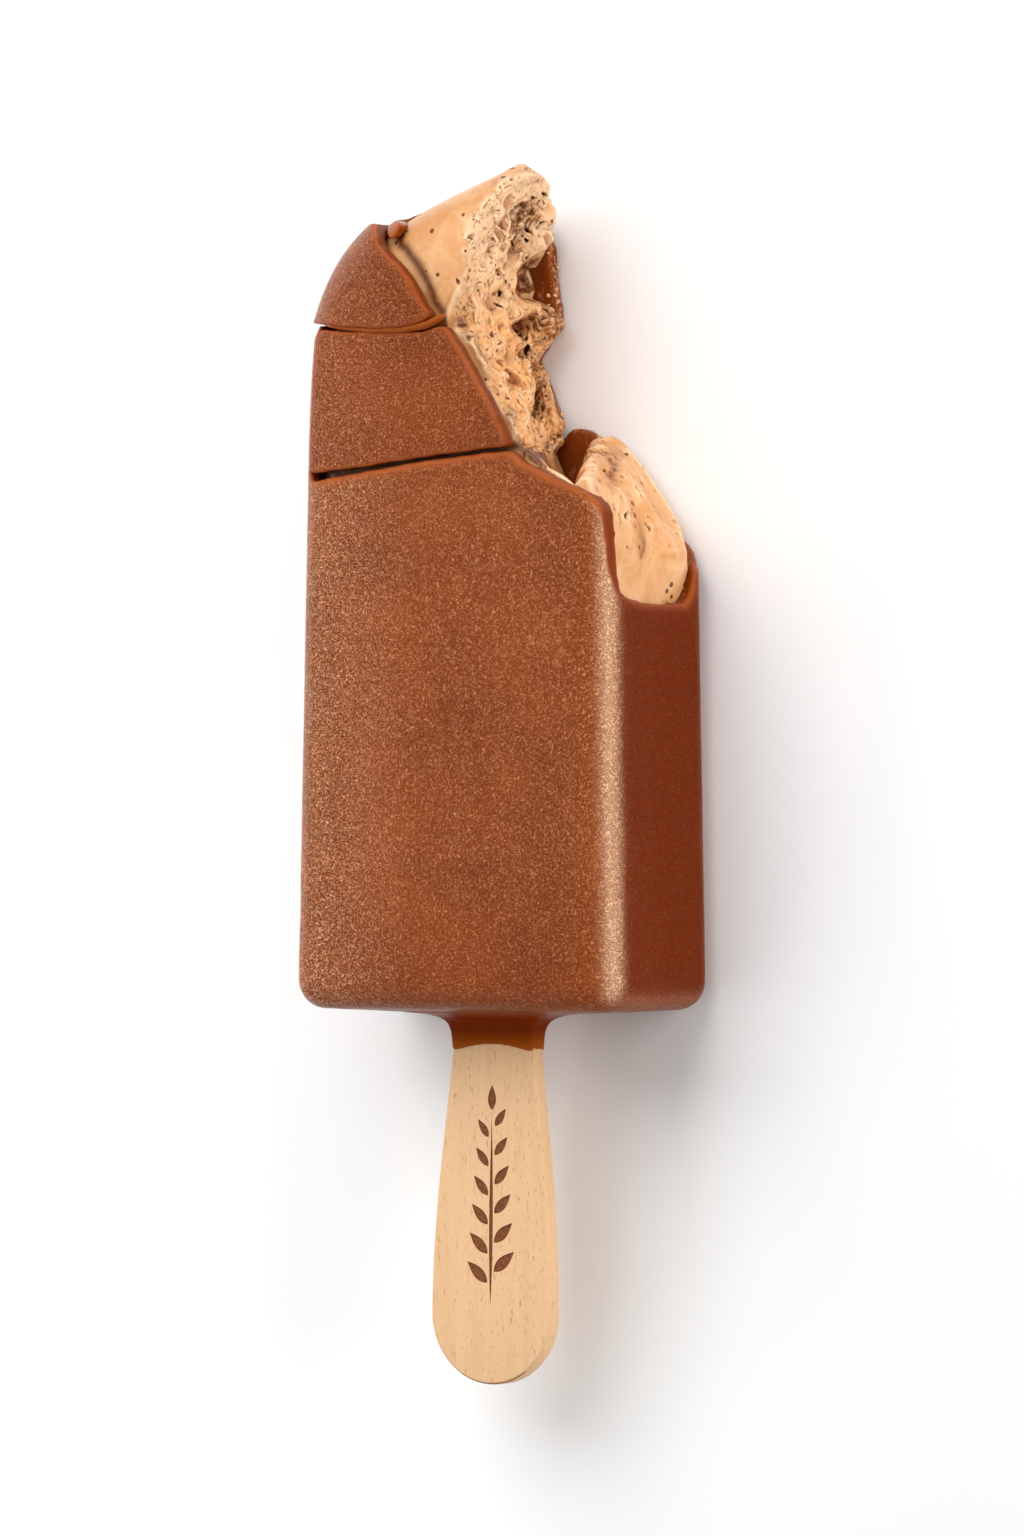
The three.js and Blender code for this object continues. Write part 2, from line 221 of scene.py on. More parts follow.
def keep_largest(bm: bmesh.types.BMesh) -> None:
    """Delete every loose part of a bmesh but the one with the most faces."""
    seen: set[bmesh.types.BMFace] = set()
    parts = []
    for start in bm.faces:
        if start in seen:
            continue
        part, front = [], [start]
        seen.add(start)
        while front:
            face = front.pop()
            part.append(face)
            for edge in face.edges:
                for near in edge.link_faces:
                    if near not in seen:
                        seen.add(near)
                        front.append(near)
        parts.append(part)
    parts.sort(key=len, reverse=True)
    scraps = [face for part in parts[1:] for face in part]
    bmesh.ops.delete(bm, geom=scraps, context="FACES")


def remesh(piece: bpy.types.Object, voxel: float, smoothing: int) -> None:
    """Give a piece one even skin, with its edges a little rounded.

    Args:
        piece: The piece.
        voxel: Width of the new faces, in mm.
        smoothing: Rounds of smoothing.
    """
    skin = piece.modifiers.new("skin", "REMESH")
    skin.mode = "VOXEL"
    skin.voxel_size = voxel
    skin.adaptivity = 0
    if smoothing:
        soft = piece.modifiers.new("soft", "SMOOTH")
        soft.factor = 0.5
        soft.iterations = smoothing
    settle(piece)
    bm = bmesh.new()
    bm.from_mesh(piece.data)
    keep_largest(bm)
    bm.to_mesh(piece.data)
    bm.free()


def vertex_array(mesh: bpy.types.Mesh, what: str = "co") -> np.ndarray:
    """Return a mesh's vertex places or normals as rows of an array."""
    values = np.empty(len(mesh.vertices) * 3, np.float32)
    if what == "co":
        mesh.vertices.foreach_get("co", values)
    else:
        mesh.vertex_normals.foreach_get("vector", values)
    return values.reshape(-1, 3).astype(float)


def set_vertices(mesh: bpy.types.Mesh, places: np.ndarray) -> None:
    """Write vertex places, given as rows of an array, to a mesh."""
    mesh.vertices.foreach_set("co", places.astype(np.float32).ravel())
    mesh.update()


def sculpt(piece: bpy.types.Object, height: Callable[[Vector], float]) -> None:
    """Push each vertex out along its normal.

    Args:
        piece: The piece.
        height: How far, in mm, for a place.
    """
    places, normals = vertex_array(piece.data), vertex_array(piece.data, "normal")
    push = np.array([height(Vector(place)) for place in places])
    set_vertices(piece.data, places + normals * push[:, None])


def store(mesh: bpy.types.Mesh, name: str, values: np.ndarray | float) -> None:
    """Keep one number per vertex as an attribute of a mesh.

    Args:
        mesh: The mesh.
        name: The attribute's name. What it held before is replaced.
        values: A number for each vertex, or one for all.
    """
    attribute = mesh.attributes.get(name) or mesh.attributes.new(name, "FLOAT", "POINT")
    attribute.data.foreach_set("value", np.broadcast_to(values, len(mesh.vertices)).astype(np.float32))


class Neighbours:
    """Averages numbers over each vertex's neighbours on a mesh."""

    def __init__(self, mesh: bpy.types.Mesh) -> None:
        """Read the mesh's edges."""
        ends = np.empty(len(mesh.edges) * 2, np.int32)
        mesh.edges.foreach_get("vertices", ends)
        self.first, self.second = ends[0::2], ends[1::2]
        self.size = len(mesh.vertices)
        self.count = np.maximum(np.bincount(ends, minlength=self.size), 1)

    def average(self, values: np.ndarray, rounds: int) -> np.ndarray:
        """Draw each vertex's number towards its neighbours' mean, a number of times."""
        for _ in range(rounds):
            total = np.bincount(self.first, values[self.second], minlength=self.size)
            total += np.bincount(self.second, values[self.first], minlength=self.size)
            values = 0.5 * values + 0.5 * total / self.count
        return values


def proud(mesh: bpy.types.Mesh, rounds: int, depth: float) -> np.ndarray:
    """Measure how far each vertex stands proud of its surroundings.

    Args:
        mesh: The mesh.
        rounds: How far round a vertex its surroundings reach, in rounds of smoothing.
        depth: The depth, in mm, that counts as a full hollow (0) or a full ridge (1).

    Returns:
        A number for each vertex: 0.5 is level.
    """
    places, normals = vertex_array(mesh), vertex_array(mesh, "normal")
    near = Neighbours(mesh)
    smooth = np.stack([near.average(places[:, axis], rounds) for axis in range(3)], axis=1)
    return np.clip(0.5 + 0.5 * ((places - smooth) * normals).sum(axis=1) / depth, 0, 1)


def distance_to(surface: bpy.types.Object, places: np.ndarray) -> np.ndarray:
    """Return each place's distance to a surface, in mm."""
    bm = bmesh.new()
    bm.from_mesh(surface.data)
    tree = BVHTree.FromBMesh(bm)
    bm.free()
    return np.array([tree.find_nearest(Vector(place))[3] for place in places])


def distance_to_line(places: np.ndarray, line: Sequence[Point]) -> np.ndarray:
    """Return each place's distance, seen from above, to a broken line."""
    best = np.full(len(places), 1e9)
    for (x0, y0), (x1, y1) in zip(line, line[1:]):
        start, run = np.array([x0, y0]), np.array([x1 - x0, y1 - y0])
        share = np.clip(((places[:, :2] - start) @ run) / (run @ run), 0, 1)
        best = np.minimum(best, np.linalg.norm(places[:, :2] - start - share[:, None] * run, axis=1))
    return best


def refine(piece: bpy.types.Object, chosen: np.ndarray) -> None:
    """Cut each face in four where all of its vertices are chosen.

    Args:
        piece: The piece.
        chosen: Whether each vertex is chosen.
    """
    bm = bmesh.new()
    bm.from_mesh(piece.data)
    bm.verts.ensure_lookup_table()
    faces = [face for face in bm.faces if all(chosen[vert.index] for vert in face.verts)]
    edges = {edge for face in faces for edge in face.edges}
    bmesh.ops.subdivide_edges(bm, edges=list(edges), cuts=1, use_grid_fill=True)
    bmesh.ops.triangulate(bm, faces=[face for face in bm.faces if len(face.verts) > 4])
    bm.to_mesh(piece.data)
    bm.free()


def thin_out(piece: bpy.types.Object, most: int, hidden: Marker | None = None) -> None:
    """Bring a piece under a number of triangles, first where it doesn't show.

    Args:
        piece: The piece.
        most: The most triangles it may have.
        hidden: Gives each vertex 1 where it doesn't show and 0 where it does; None treats all alike.
    """
    for only_hidden in (True, False) if hidden else (False,):
        triangles = sum(len(polygon.vertices) - 2 for polygon in piece.data.polygons)
        if triangles <= most:
            return
        modifier = piece.modifiers.new("thin", "DECIMATE")
        modifier.ratio = most / triangles
        if only_hidden:
            group = piece.vertex_groups.new(name="hidden")
            for weight in (0.0, 1.0):
                chosen = np.nonzero(hidden(vertex_array(piece.data)) == weight)[0].tolist()
                group.add(chosen, weight, "REPLACE")
            modifier.vertex_group = "hidden"
            modifier.vertex_group_factor = 4
        settle(piece)
        piece.vertex_groups.clear()


def plate(bm: bmesh.types.BMesh, outline: Sequence[Point], low: float, high: float) -> None:
    """Add a flat plate with a given outline to a bmesh.

    Args:
        bm: The bmesh.
        outline: The outline's corners, in order.
        low: The height of the plate's lower face.
        high: The height of its upper face.
    """
    bmesh.ops.create_circle(bm, cap_ends=True, segments=len(outline), radius=1)
    for vert, (x, y) in zip(bm.verts, outline):
        vert.co = Vector((x, y, low))
    grown = bmesh.ops.extrude_face_region(bm, geom=bm.faces[:])["geom"]
    upper = [item for item in grown if isinstance(item, bmesh.types.BMVert)]
    bmesh.ops.translate(bm, verts=upper, vec=(0, 0, high - low))


def lofted(name: str, around: int, levels: int,
           place: Callable[[int, int], Sequence[float]]) -> bpy.types.Object:
    """Build a closed solid from rings of points.

    Args:
        name: Its name.
        around: How many points each ring has.
        levels: How many rings there are. The first and the last close to a point.
        place: Gives the place of a point from its ring and its number round the ring.

    Returns:
        The solid.
    """
    bm = bmesh.new()
    bmesh.ops.create_uvsphere(bm, u_segments=around, v_segments=levels - 1, radius=1)
    for vert in bm.verts:
        level = round(math.acos(max(-1.0, min(1.0, vert.co.z))) / math.pi * (levels - 1))
        turn = round(math.atan2(vert.co.y, vert.co.x) / (2 * math.pi) * around) % around
        vert.co = Vector(place(level, turn))
    return solid_piece(name, bm)


def prism(rim: Sequence[Point], rest: Sequence[Point], low: float, high: float, axis: Axis,
          seed: float = 0.0, rough: float = 0.16) -> bpy.types.Object:
    """Make a tool solid whose outline follows a broken rim, with a rough fracture along it.

    Args:
        rim: Corners of the rim: X and Y for a cut through Z, or Z and Y for a cut through X.
        rest: Corners that close the outline beyond the bar.
        low: Where the solid starts along its axis, in mm.
        high: Where it ends.
        axis: Which way it is cut through.
        seed: Which roughness.
        rough: How far the fracture strays, in mm.

    Returns:
        The tool solid.
    """
    bm = bmesh.new()
    plate(bm, softened(rim, 0.5, 3) + list(rest), low, high)
    if axis is Axis.X:
        for vert in bm.verts:
            vert.co = vert.co.zyx
    along_axis = axis.value
    walls = [edge for edge in bm.edges
             if abs(edge.verts[0].co[along_axis] - edge.verts[1].co[along_axis]) > 0.1]
    bmesh.ops.subdivide_edges(bm, edges=walls, cuts=max(1, round(min(abs(high - low), 30) / 0.8)))
    for vert in bm.verts:
        if max(abs(vert.co.x), abs(vert.co.y - FAR)) < FAR - 1:
            shift = noise.noise_vector(vert.co * 0.5 + Vector((seed, 0, 0))) * rough
            shift += noise.noise_vector(vert.co * 1.5 + Vector((0, seed, 0))) * rough * 0.45
            shift[along_axis] = 0
            vert.co += shift
    return solid_piece("tool", bm)


# ---- the moulded bar -----------------------------------------------------------------------------


@dataclass(frozen=True)
class Ring:
    """One ring of the moulded bar."""

    y: float
    edge: float = 0.0  # how far the stick end's rounding draws it in
    closing: float = 0.0  # how far it is up the dome, 0 to 1
    scale: float = 1.0


@dataclass(frozen=True)
class MouldedBar:
    """The form that the bar was moulded in, before it was bitten."""

    width: float = 48.0
    thickness: float = 25.8
    width_taper: float = 0.038
    thickness_taper: float = 0.005
    edge_radius: float = 4.5
    stick_end_radius: float = 3.6
    stick_end_sag: float = 0.5
    stick_end_rim: float = 0.1
    dome_start: float = 84.0
    dome_height: float = 24.3
    lean_start: float = 68.0
    lean: float = 3.4
    side_steps: int = 6
    arc_steps: int = 12
    face_steps: int = 10
    dome_rings: int = 44
    straight_rings: int = 36

    @property
    def middle(self) -> float:
        """The height of the bar's middle plane at its stick end."""
        return self.thickness / 2

    @property
    def quarter_steps(self) -> int:
        """The number of points on a quarter of a section."""
        return self.side_steps + self.arc_steps + self.face_steps

    def lean_at(self, y: float) -> float:
        """Return how far the bitten end has bent over at Y."""
        rise = max(0.0, y - self.lean_start) / (self.dome_start + self.dome_height - self.lean_start)
        return self.lean * rise * rise

    def quarter_point(self, step: int, half: Point, corner: Point) -> Point:
        """Find a point of a quarter of a rounded rectangle.

        Args:
            step: From 0 at the middle of the side to the middle of the face.
            half: Half the section's width and thickness.
            corner: The corner's reach in each direction.

        Returns:
            The point, in X and Z from the section's middle.
        """
        if step <= self.side_steps:
            return half[0], (half[1] - corner[1]) * step / self.side_steps
        if step >= self.side_steps + self.arc_steps:
            return (half[0] - corner[0]) * (self.quarter_steps - step) / self.face_steps, half[1]
        angle = (step - self.side_steps) / self.arc_steps * math.pi / 2
        return (half[0] - corner[0] + corner[0] * math.cos(angle),
                half[1] - corner[1] + corner[1] * math.sin(angle))

    def section_point(self, around: int, ring: Ring, inset: float) -> Point:
        """Find a point round a whole section.

        Args:
            around: Which point, counted round the section.
            ring: The ring.
            inset: How far inside the moulded surface, in mm.

        Returns:
            The point, in X and Z from the section's middle.
        """
        half_x = self.width / 2 - self.width_taper / 2 * ring.y - inset - ring.edge
        half_z = (self.thickness - self.thickness_taper * ring.y) / 2 - inset - ring.edge
        corner = max(0.3, self.edge_radius - inset - ring.edge)
        rounding = clamp01(ring.closing) ** 0.8
        dome_x = half_x * (1 - ring.closing**3) * (1 - ring.closing**8)
        dome_z = half_z * (1 - ring.closing**5)
        reach = (min(dome_x, lerp(corner, dome_x, rounding)), min(dome_z, lerp(corner, dome_z, rounding)))
        quarter, step = divmod(around, self.quarter_steps)
        x, z = self.quarter_point(self.quarter_steps - step if quarter % 2 else step, (dome_x, dome_z), reach)
        return (x if quarter in (1, 2) else -x) * ring.scale, (z if quarter < 2 else -z) * ring.scale

    def rings(self, inset: float) -> list[Ring]:
        """Return the bar's rings from its tip to its stick end, an inset inside the moulded surface."""
        rings = []
        for step in range(self.dome_rings):
            closing = 1 - (step / self.dome_rings) ** 1.8
            rings.append(Ring(self.dome_start + (self.dome_height - inset) * closing, closing=closing))
        radius = max(1.0, self.stick_end_radius - inset)
        bottom = inset + self.stick_end_rim
        for step in range(self.straight_rings):
            rings.append(Ring(lerp(self.dome_start, bottom + radius, step / self.straight_rings)))
        for turn in np.radians(np.linspace(0, 90, 9)):
            rings.append(Ring(bottom + radius * (1 - math.sin(turn)), edge=radius * (1 - math.cos(turn))))
        for scale in (0.85, 0.6, 0.3, 0.0):
            rings.append(Ring(bottom - self.stick_end_sag * (1 - scale**2), edge=radius, scale=scale))
        return rings

    def solid(self, inset: float, shape: Place | None = None) -> bpy.types.Object:
        """Build the bar as a closed solid.

        Args:
            inset: How far inside the moulded surface, in mm.
            shape: Moves each point, where the form departs from the mould.

        Returns:
            The solid.
        """
        rings = self.rings(inset)

        def place(level: int, turn: int) -> Sequence[float]:
            """Return the place of one point of one ring."""
            ring = rings[level]
            x, z = self.section_point(turn, ring, inset)
            middle = (self.thickness - self.thickness_taper * ring.y) / 2
            point = (x + self.lean_at(ring.y), ring.y, middle + z)
            return shape(*point) if shape else point

        return lofted("bar", 4 * self.quarter_steps, len(rings), place)


BAR = MouldedBar()


def into_frame(piece: bpy.types.Object) -> None:
    """Move a finished piece from the bar's own frame, in mm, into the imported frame."""
    stick_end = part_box("stick")[0].y + STICK_SHOWN * MM
    piece.data.transform(Matrix.Translation((0, stick_end, 0)) @ Matrix.Scale(MM, 4))
    piece.data.update()


def finish_piece(piece: bpy.types.Object, material: bpy.types.Material, slot: str, *nodes: str) -> None:
    """Place, paint and attach a finished piece, and hide the CAD parts that it stands for.

    Args:
        piece: The piece, still in mm.
        material: Its finish.
        slot: Not used.
        nodes: The CAD nodes that it stands for.
    """
    into_frame(piece)
    piece.data.shade_smooth()
    piece.data.materials.clear()
    piece.data.materials.append(material)
    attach(piece, BODY)
    if nodes:
        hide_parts(*nodes)
    LOG.info("%s: %d faces", piece.name, len(piece.data.polygons))


# ---- finishes ------------------------------------------------------------------------------------


@dataclass
class Sheet:
    """One material's nodes, with short ways to add them."""

    name: str
    material: bpy.types.Material = field(init=False)
    tree: bpy.types.NodeTree = field(init=False)
    shader: bpy.types.Node = field(init=False)
    millimetres: bpy.types.NodeSocket = field(init=False)  # the place on the object

    def __post_init__(self) -> None:
        """Make an empty material with an output and a Principled shader."""
        self.material = bpy.data.materials.new(self.name)
        self.material.use_nodes = True
        self.tree = self.material.node_tree
        self.shader = self.tree.nodes["Principled BSDF"]
        coordinates = self.tree.nodes.new("ShaderNodeTexCoord")
        self.millimetres = self.add("ShaderNodeMapping", Scale=(1 / MM, 1 / MM, 1 / MM),
                                    Vector=coordinates.outputs["Object"]).outputs[0]

    def add(self, kind: str, settings: dict | None = None, **inputs: object) -> bpy.types.Node:
        """Add a node.

        Args:
            kind: The node's type.
            settings: Values of the node's own properties.
            inputs: A value or an output for each input, by name, or by i and the input's number.

        Returns:
            The node.
        """
        node = self.tree.nodes.new(kind)
        for key, value in (settings or {}).items():
            setattr(node, key, value)
        for key, value in inputs.items():
            socket = node.inputs[int(key[1:])] if key[0] == "i" and key[1:].isdigit() else node.inputs[key]
            self.feed(socket, value)
        return node

    def feed(self, socket: bpy.types.NodeSocket, value: object) -> None:
        """Link an output to a socket, or set the socket's own value."""
        if isinstance(value, bpy.types.NodeSocket):
            self.tree.links.new(value, socket)
        else:
            socket.default_value = value

    def math(self, operation: str, a: object, b: object = 0.0) -> bpy.types.NodeSocket:
        """Return the result of a Math node on two numbers or outputs."""
        return self.add("ShaderNodeMath", {"operation": operation}, i0=a, i1=b).outputs[0]

    def spread(self, value: object, low: float, high: float, to_low: float = 0.0,
               to_high: float = 1.0) -> bpy.types.NodeSocket:
        """Return a value stretched from one range to another, and held inside it."""
        return self.add("ShaderNodeMapRange", {"clamp": True}, i0=value, i1=low, i2=high, i3=to_low,
                        i4=to_high).outputs[0]

    def times(self, a: object, b: object) -> bpy.types.NodeSocket:
        """Return the product of two numbers or outputs."""
        return self.math("MULTIPLY", a, b)

    def most(self, a: object, b: object) -> bpy.types.NodeSocket:
        """Return the larger of two numbers or outputs."""
        return self.math("MAXIMUM", a, b)

    def thread(self, value: object, width: float) -> bpy.types.NodeSocket:
        """Return a thin line: 1 where a value passes through 0.5, and 0 beyond a width."""
        away = self.math("ABSOLUTE", self.math("SUBTRACT", value, 0.5))
        return self.spread(away, 0.0, width, 1.0, 0.0)

    def blend(self, share: object, a: object, b: object) -> bpy.types.NodeSocket:
        """Return two colours mixed by a share."""
        return self.add("ShaderNodeMix", {"data_type": "RGBA"}, i0=share, i6=a, i7=b).outputs[2]

    def layered(self, ground: object, *layers: tuple[object, object]) -> bpy.types.NodeSocket:
        """Return a colour with others laid over it in their order, each a pair of its share and itself."""
        for share, tint in layers:
            ground = self.blend(share, ground, tint)
        return ground

    def lerp(self, share: object, a: object, b: object) -> bpy.types.NodeSocket:
        """Return two numbers mixed by a share."""
        return self.add("ShaderNodeMix", {"data_type": "FLOAT"}, i0=share, i2=a, i3=b).outputs[0]

    def blend_vector(self, share: object, a: object, b: object) -> bpy.types.NodeSocket:
        """Return two vectors mixed by a share."""
        return self.add("ShaderNodeMix", {"data_type": "VECTOR"}, i0=share, i4=a, i5=b).outputs[1]

    def grain(self, scale: float, detail: float = 2.0, roughness: float = 0.5, distortion: float = 0.0,
              vector: bpy.types.NodeSocket | None = None) -> bpy.types.NodeSocket:
        """Return noise of about 0.3 to 0.7, with its scale given in features per mm."""
        node = self.add("ShaderNodeTexNoise", Vector=vector or self.millimetres, Scale=scale, Detail=detail,
                        Roughness=roughness, Distortion=distortion)
        return node.outputs[0]

    def stretched(self, scale: Sequence[float]) -> bpy.types.NodeSocket:
        """Return the place in mm, stretched along each axis."""
        return self.add("ShaderNodeVectorMath", {"operation": "MULTIPLY"}, i0=self.millimetres,
                        i1=tuple(scale)).outputs[0]

    def attribute(self, name: str) -> bpy.types.NodeSocket:
        """Return a number kept on the mesh."""
        return self.add("ShaderNodeAttribute", {"attribute_name": name}).outputs["Fac"]

    def relief(self, height: object, distance: float,
               under: bpy.types.NodeSocket | None = None) -> bpy.types.NodeSocket:
        """Return a normal bent by a height that runs from 0 to 1 and stands for a distance in mm."""
        node = self.add("ShaderNodeBump", Height=height, Distance=distance * MM, Strength=1.0)
        if under is not None:
            self.feed(node.inputs["Normal"], under)
        return node.outputs[0]

    def finish(self, **inputs: object) -> bpy.types.Material:
        """Set the shader's inputs by name, with _ for a blank, and return the material."""
        for key, value in inputs.items():
            self.feed(self.shader.inputs[key.replace("_", " ")], value)
        return self.material


@dataclass(frozen=True)
class ChocolateFinish:
    """Milk chocolate: satin and finely crinkled outside, smoother at its rims, darker where it is broken."""

    body: tuple = (0.235, 0.046, 0.0085, 1)
    warm: tuple = (0.37, 0.084, 0.016, 1)
    # line and groove: painted highlight on the crinkles' tops and painted shade in the grooves between them
    line: tuple = (0.74, 0.29, 0.115, 1)
    # colour of the painted highlight along the front right edge and of the painted sheen at the left
    highlight_paint: tuple = (1.0, 0.62, 0.38, 1)
    groove: tuple = (0.13, 0.018, 0.002, 1)
    # rim: orange of the thinner coating over rounded rims, and painted warm light beside the highlight along
    # the front right edge
    rim: tuple = (0.52, 0.12, 0.02, 1)
    # flank: painted shade on the right side faces; also laid, weaker, towards the stick end and on the loose
    # shards
    flank: tuple = (0.172, 0.018, 0.0002, 1)
    broken: tuple = (0.19, 0.034, 0.003, 1)
    inner: tuple = (0.22, 0.045, 0.005, 1)
    film: tuple = (0.34, 0.075, 0.006, 1)
    smear: tuple = (0.55, 0.27, 0.13, 1)
    sheen: tuple = (1.0, 0.68, 0.45, 1)
    rim_share: float = 0.45
    flank_share: float = 0.9
    smear_share: float = 0.6
    glint_share: tuple = (0.15, 0.8)  # of the crinkles' tops, from the dull spots to the bright ones
    flank_glint: float = 0.12
    # strength of the painted highlight, between the crinkles and on them
    highlight_share: tuple = (0.85, 1.8)  # between the crinkles and on them
    # strength of the painted sheen on the crinkles at the left
    painted_sheen_share: float = 0.9
    sunk_share: float = 0.6
    least_crinkled: float = 0.06
    roughness: float = 0.3
    rim_roughness: float = 0.26
    broken_roughness: float = 0.42
    film_roughness: float = 0.14
    thickness: float = COATING
    nets: tuple = ((2.7, 0.05), (3.5, 0.045))  # features in each mm, and how wide their lines are
    crinkle_height: float = 0.05  # in mm, as the next two
    swell_height: float = 0.12
    fracture_height: float = 0.12
    ior: float = 1.28
    reflection: tuple = (0.5, 0.05)  # specular level on the front and on the flank
    scatter: float = 0.08
    scatter_radius: tuple = (1.0, 0.35, 0.12)
    scatter_reach: float = 0.0007

    def crinkles(self, sheet: Sheet) -> bpy.types.NodeSocket:
        """Return the height of the crinkles, a close net of short curved lines.

        Args:
            sheet: The material's nodes.

        Returns:
            An output from 0 between the crinkles to 1 along their tops.
        """
        lines = [sheet.thread(sheet.grain(scale, 0.6, 0.5, 0.5), width) for scale, width in self.nets]
        return sheet.most(*lines)

    def material(self) -> bpy.types.Material:
        """Build the material.

        Returns:
            The material. It reads the mesh's depth below the mould, and its edge, margin, flank, frosty,
            film, painted highlight and painted sheen, which run from 0 to 1.
        """
        sheet = Sheet("chocolate")
        depth, edge, film, flank = (sheet.attribute(name) for name in ("depth", "edge", "film", "flank"))
        smooth = sheet.most(sheet.attribute("margin"), film)
        fresh = sheet.spread(depth, 0.3, 0.75)
        inside = sheet.spread(depth, self.thickness - 0.45, self.thickness - 0.15)
        outside = sheet.spread(sheet.most(smooth, fresh), 0.1, 0.8, 1.0, self.least_crinkled)
        crinkle = self.crinkles(sheet)
        raised = sheet.times(crinkle, outside)
        # painted light on the crinkles: glints on their tops and shade in the grooves between, as side light
        # would give them
        glint = sheet.times(raised, sheet.spread(sheet.grain(2.6, 1), 0.42, 0.58, *self.glint_share))
        glint = sheet.times(glint, sheet.spread(flank, 0.0, 1.0, 1.0, self.flank_glint))
        sunk = sheet.times(sheet.spread(crinkle, 0.0, 0.5, self.sunk_share, 0.0), outside)
        # painted highlight: a pale band along the front right edge, stronger on the crinkles' tops
        painted_highlight = sheet.times(sheet.attribute("painted_highlight"), sheet.lerp(crinkle, *self.highlight_share))
        # painted sheen: pale crinkle tops over the left part of the front, where the left light would catch
        # them
        painted_sheen = sheet.times(sheet.attribute("painted_sheen"), sheet.spread(crinkle, 0.3, 1.0, 0.0, self.painted_sheen_share))
        speckle = sheet.times(sheet.spread(sheet.grain(1.6, 3, 0.7), 0.46, 0.58), sheet.attribute("frosty"))
        smears = sheet.spread(sheet.grain(0.9, 4, 0.65, 0.4, sheet.stretched((1.0, 0.45, 1.0))), 0.56, 0.7)
        colour = sheet.layered(
            sheet.blend(sheet.spread(sheet.grain(0.07, 4), 0.36, 0.62), self.body, self.warm),
            (sheet.times(edge, self.rim_share), self.rim),
            (sheet.times(flank, self.flank_share), self.flank),
            (sheet.times(sheet.most(painted_highlight, painted_sheen), outside), self.highlight_paint),
            (sunk, self.groove),
            (glint, self.line),
            (fresh, self.broken),
            (inside, self.inner),
            (sheet.times(speckle, sheet.math("SUBTRACT", fresh, inside)), self.smear),
            (sheet.times(smears, sheet.times(inside, self.smear_share)), self.smear),
            (film, self.film))
        soft = sheet.relief(sheet.grain(0.5, 2), self.swell_height)
        rough = sheet.relief(sheet.grain(2.2, 4, 0.65), self.fracture_height, soft)
        normal = sheet.blend_vector(fresh, sheet.relief(raised, self.crinkle_height, soft), rough)
        roughness = sheet.lerp(sheet.times(edge, outside), self.roughness, self.rim_roughness)
        roughness = sheet.lerp(film, sheet.lerp(fresh, roughness, self.broken_roughness), self.film_roughness)
        return sheet.finish(Base_Color=colour, Roughness=roughness, Normal=normal, IOR=self.ior,
                            Specular_IOR_Level=sheet.spread(flank, 0.0, 1.0, *self.reflection),
                            Specular_Tint=self.sheen, Subsurface_Weight=self.scatter,
                            Subsurface_Radius=self.scatter_radius, Subsurface_Scale=self.scatter_reach)


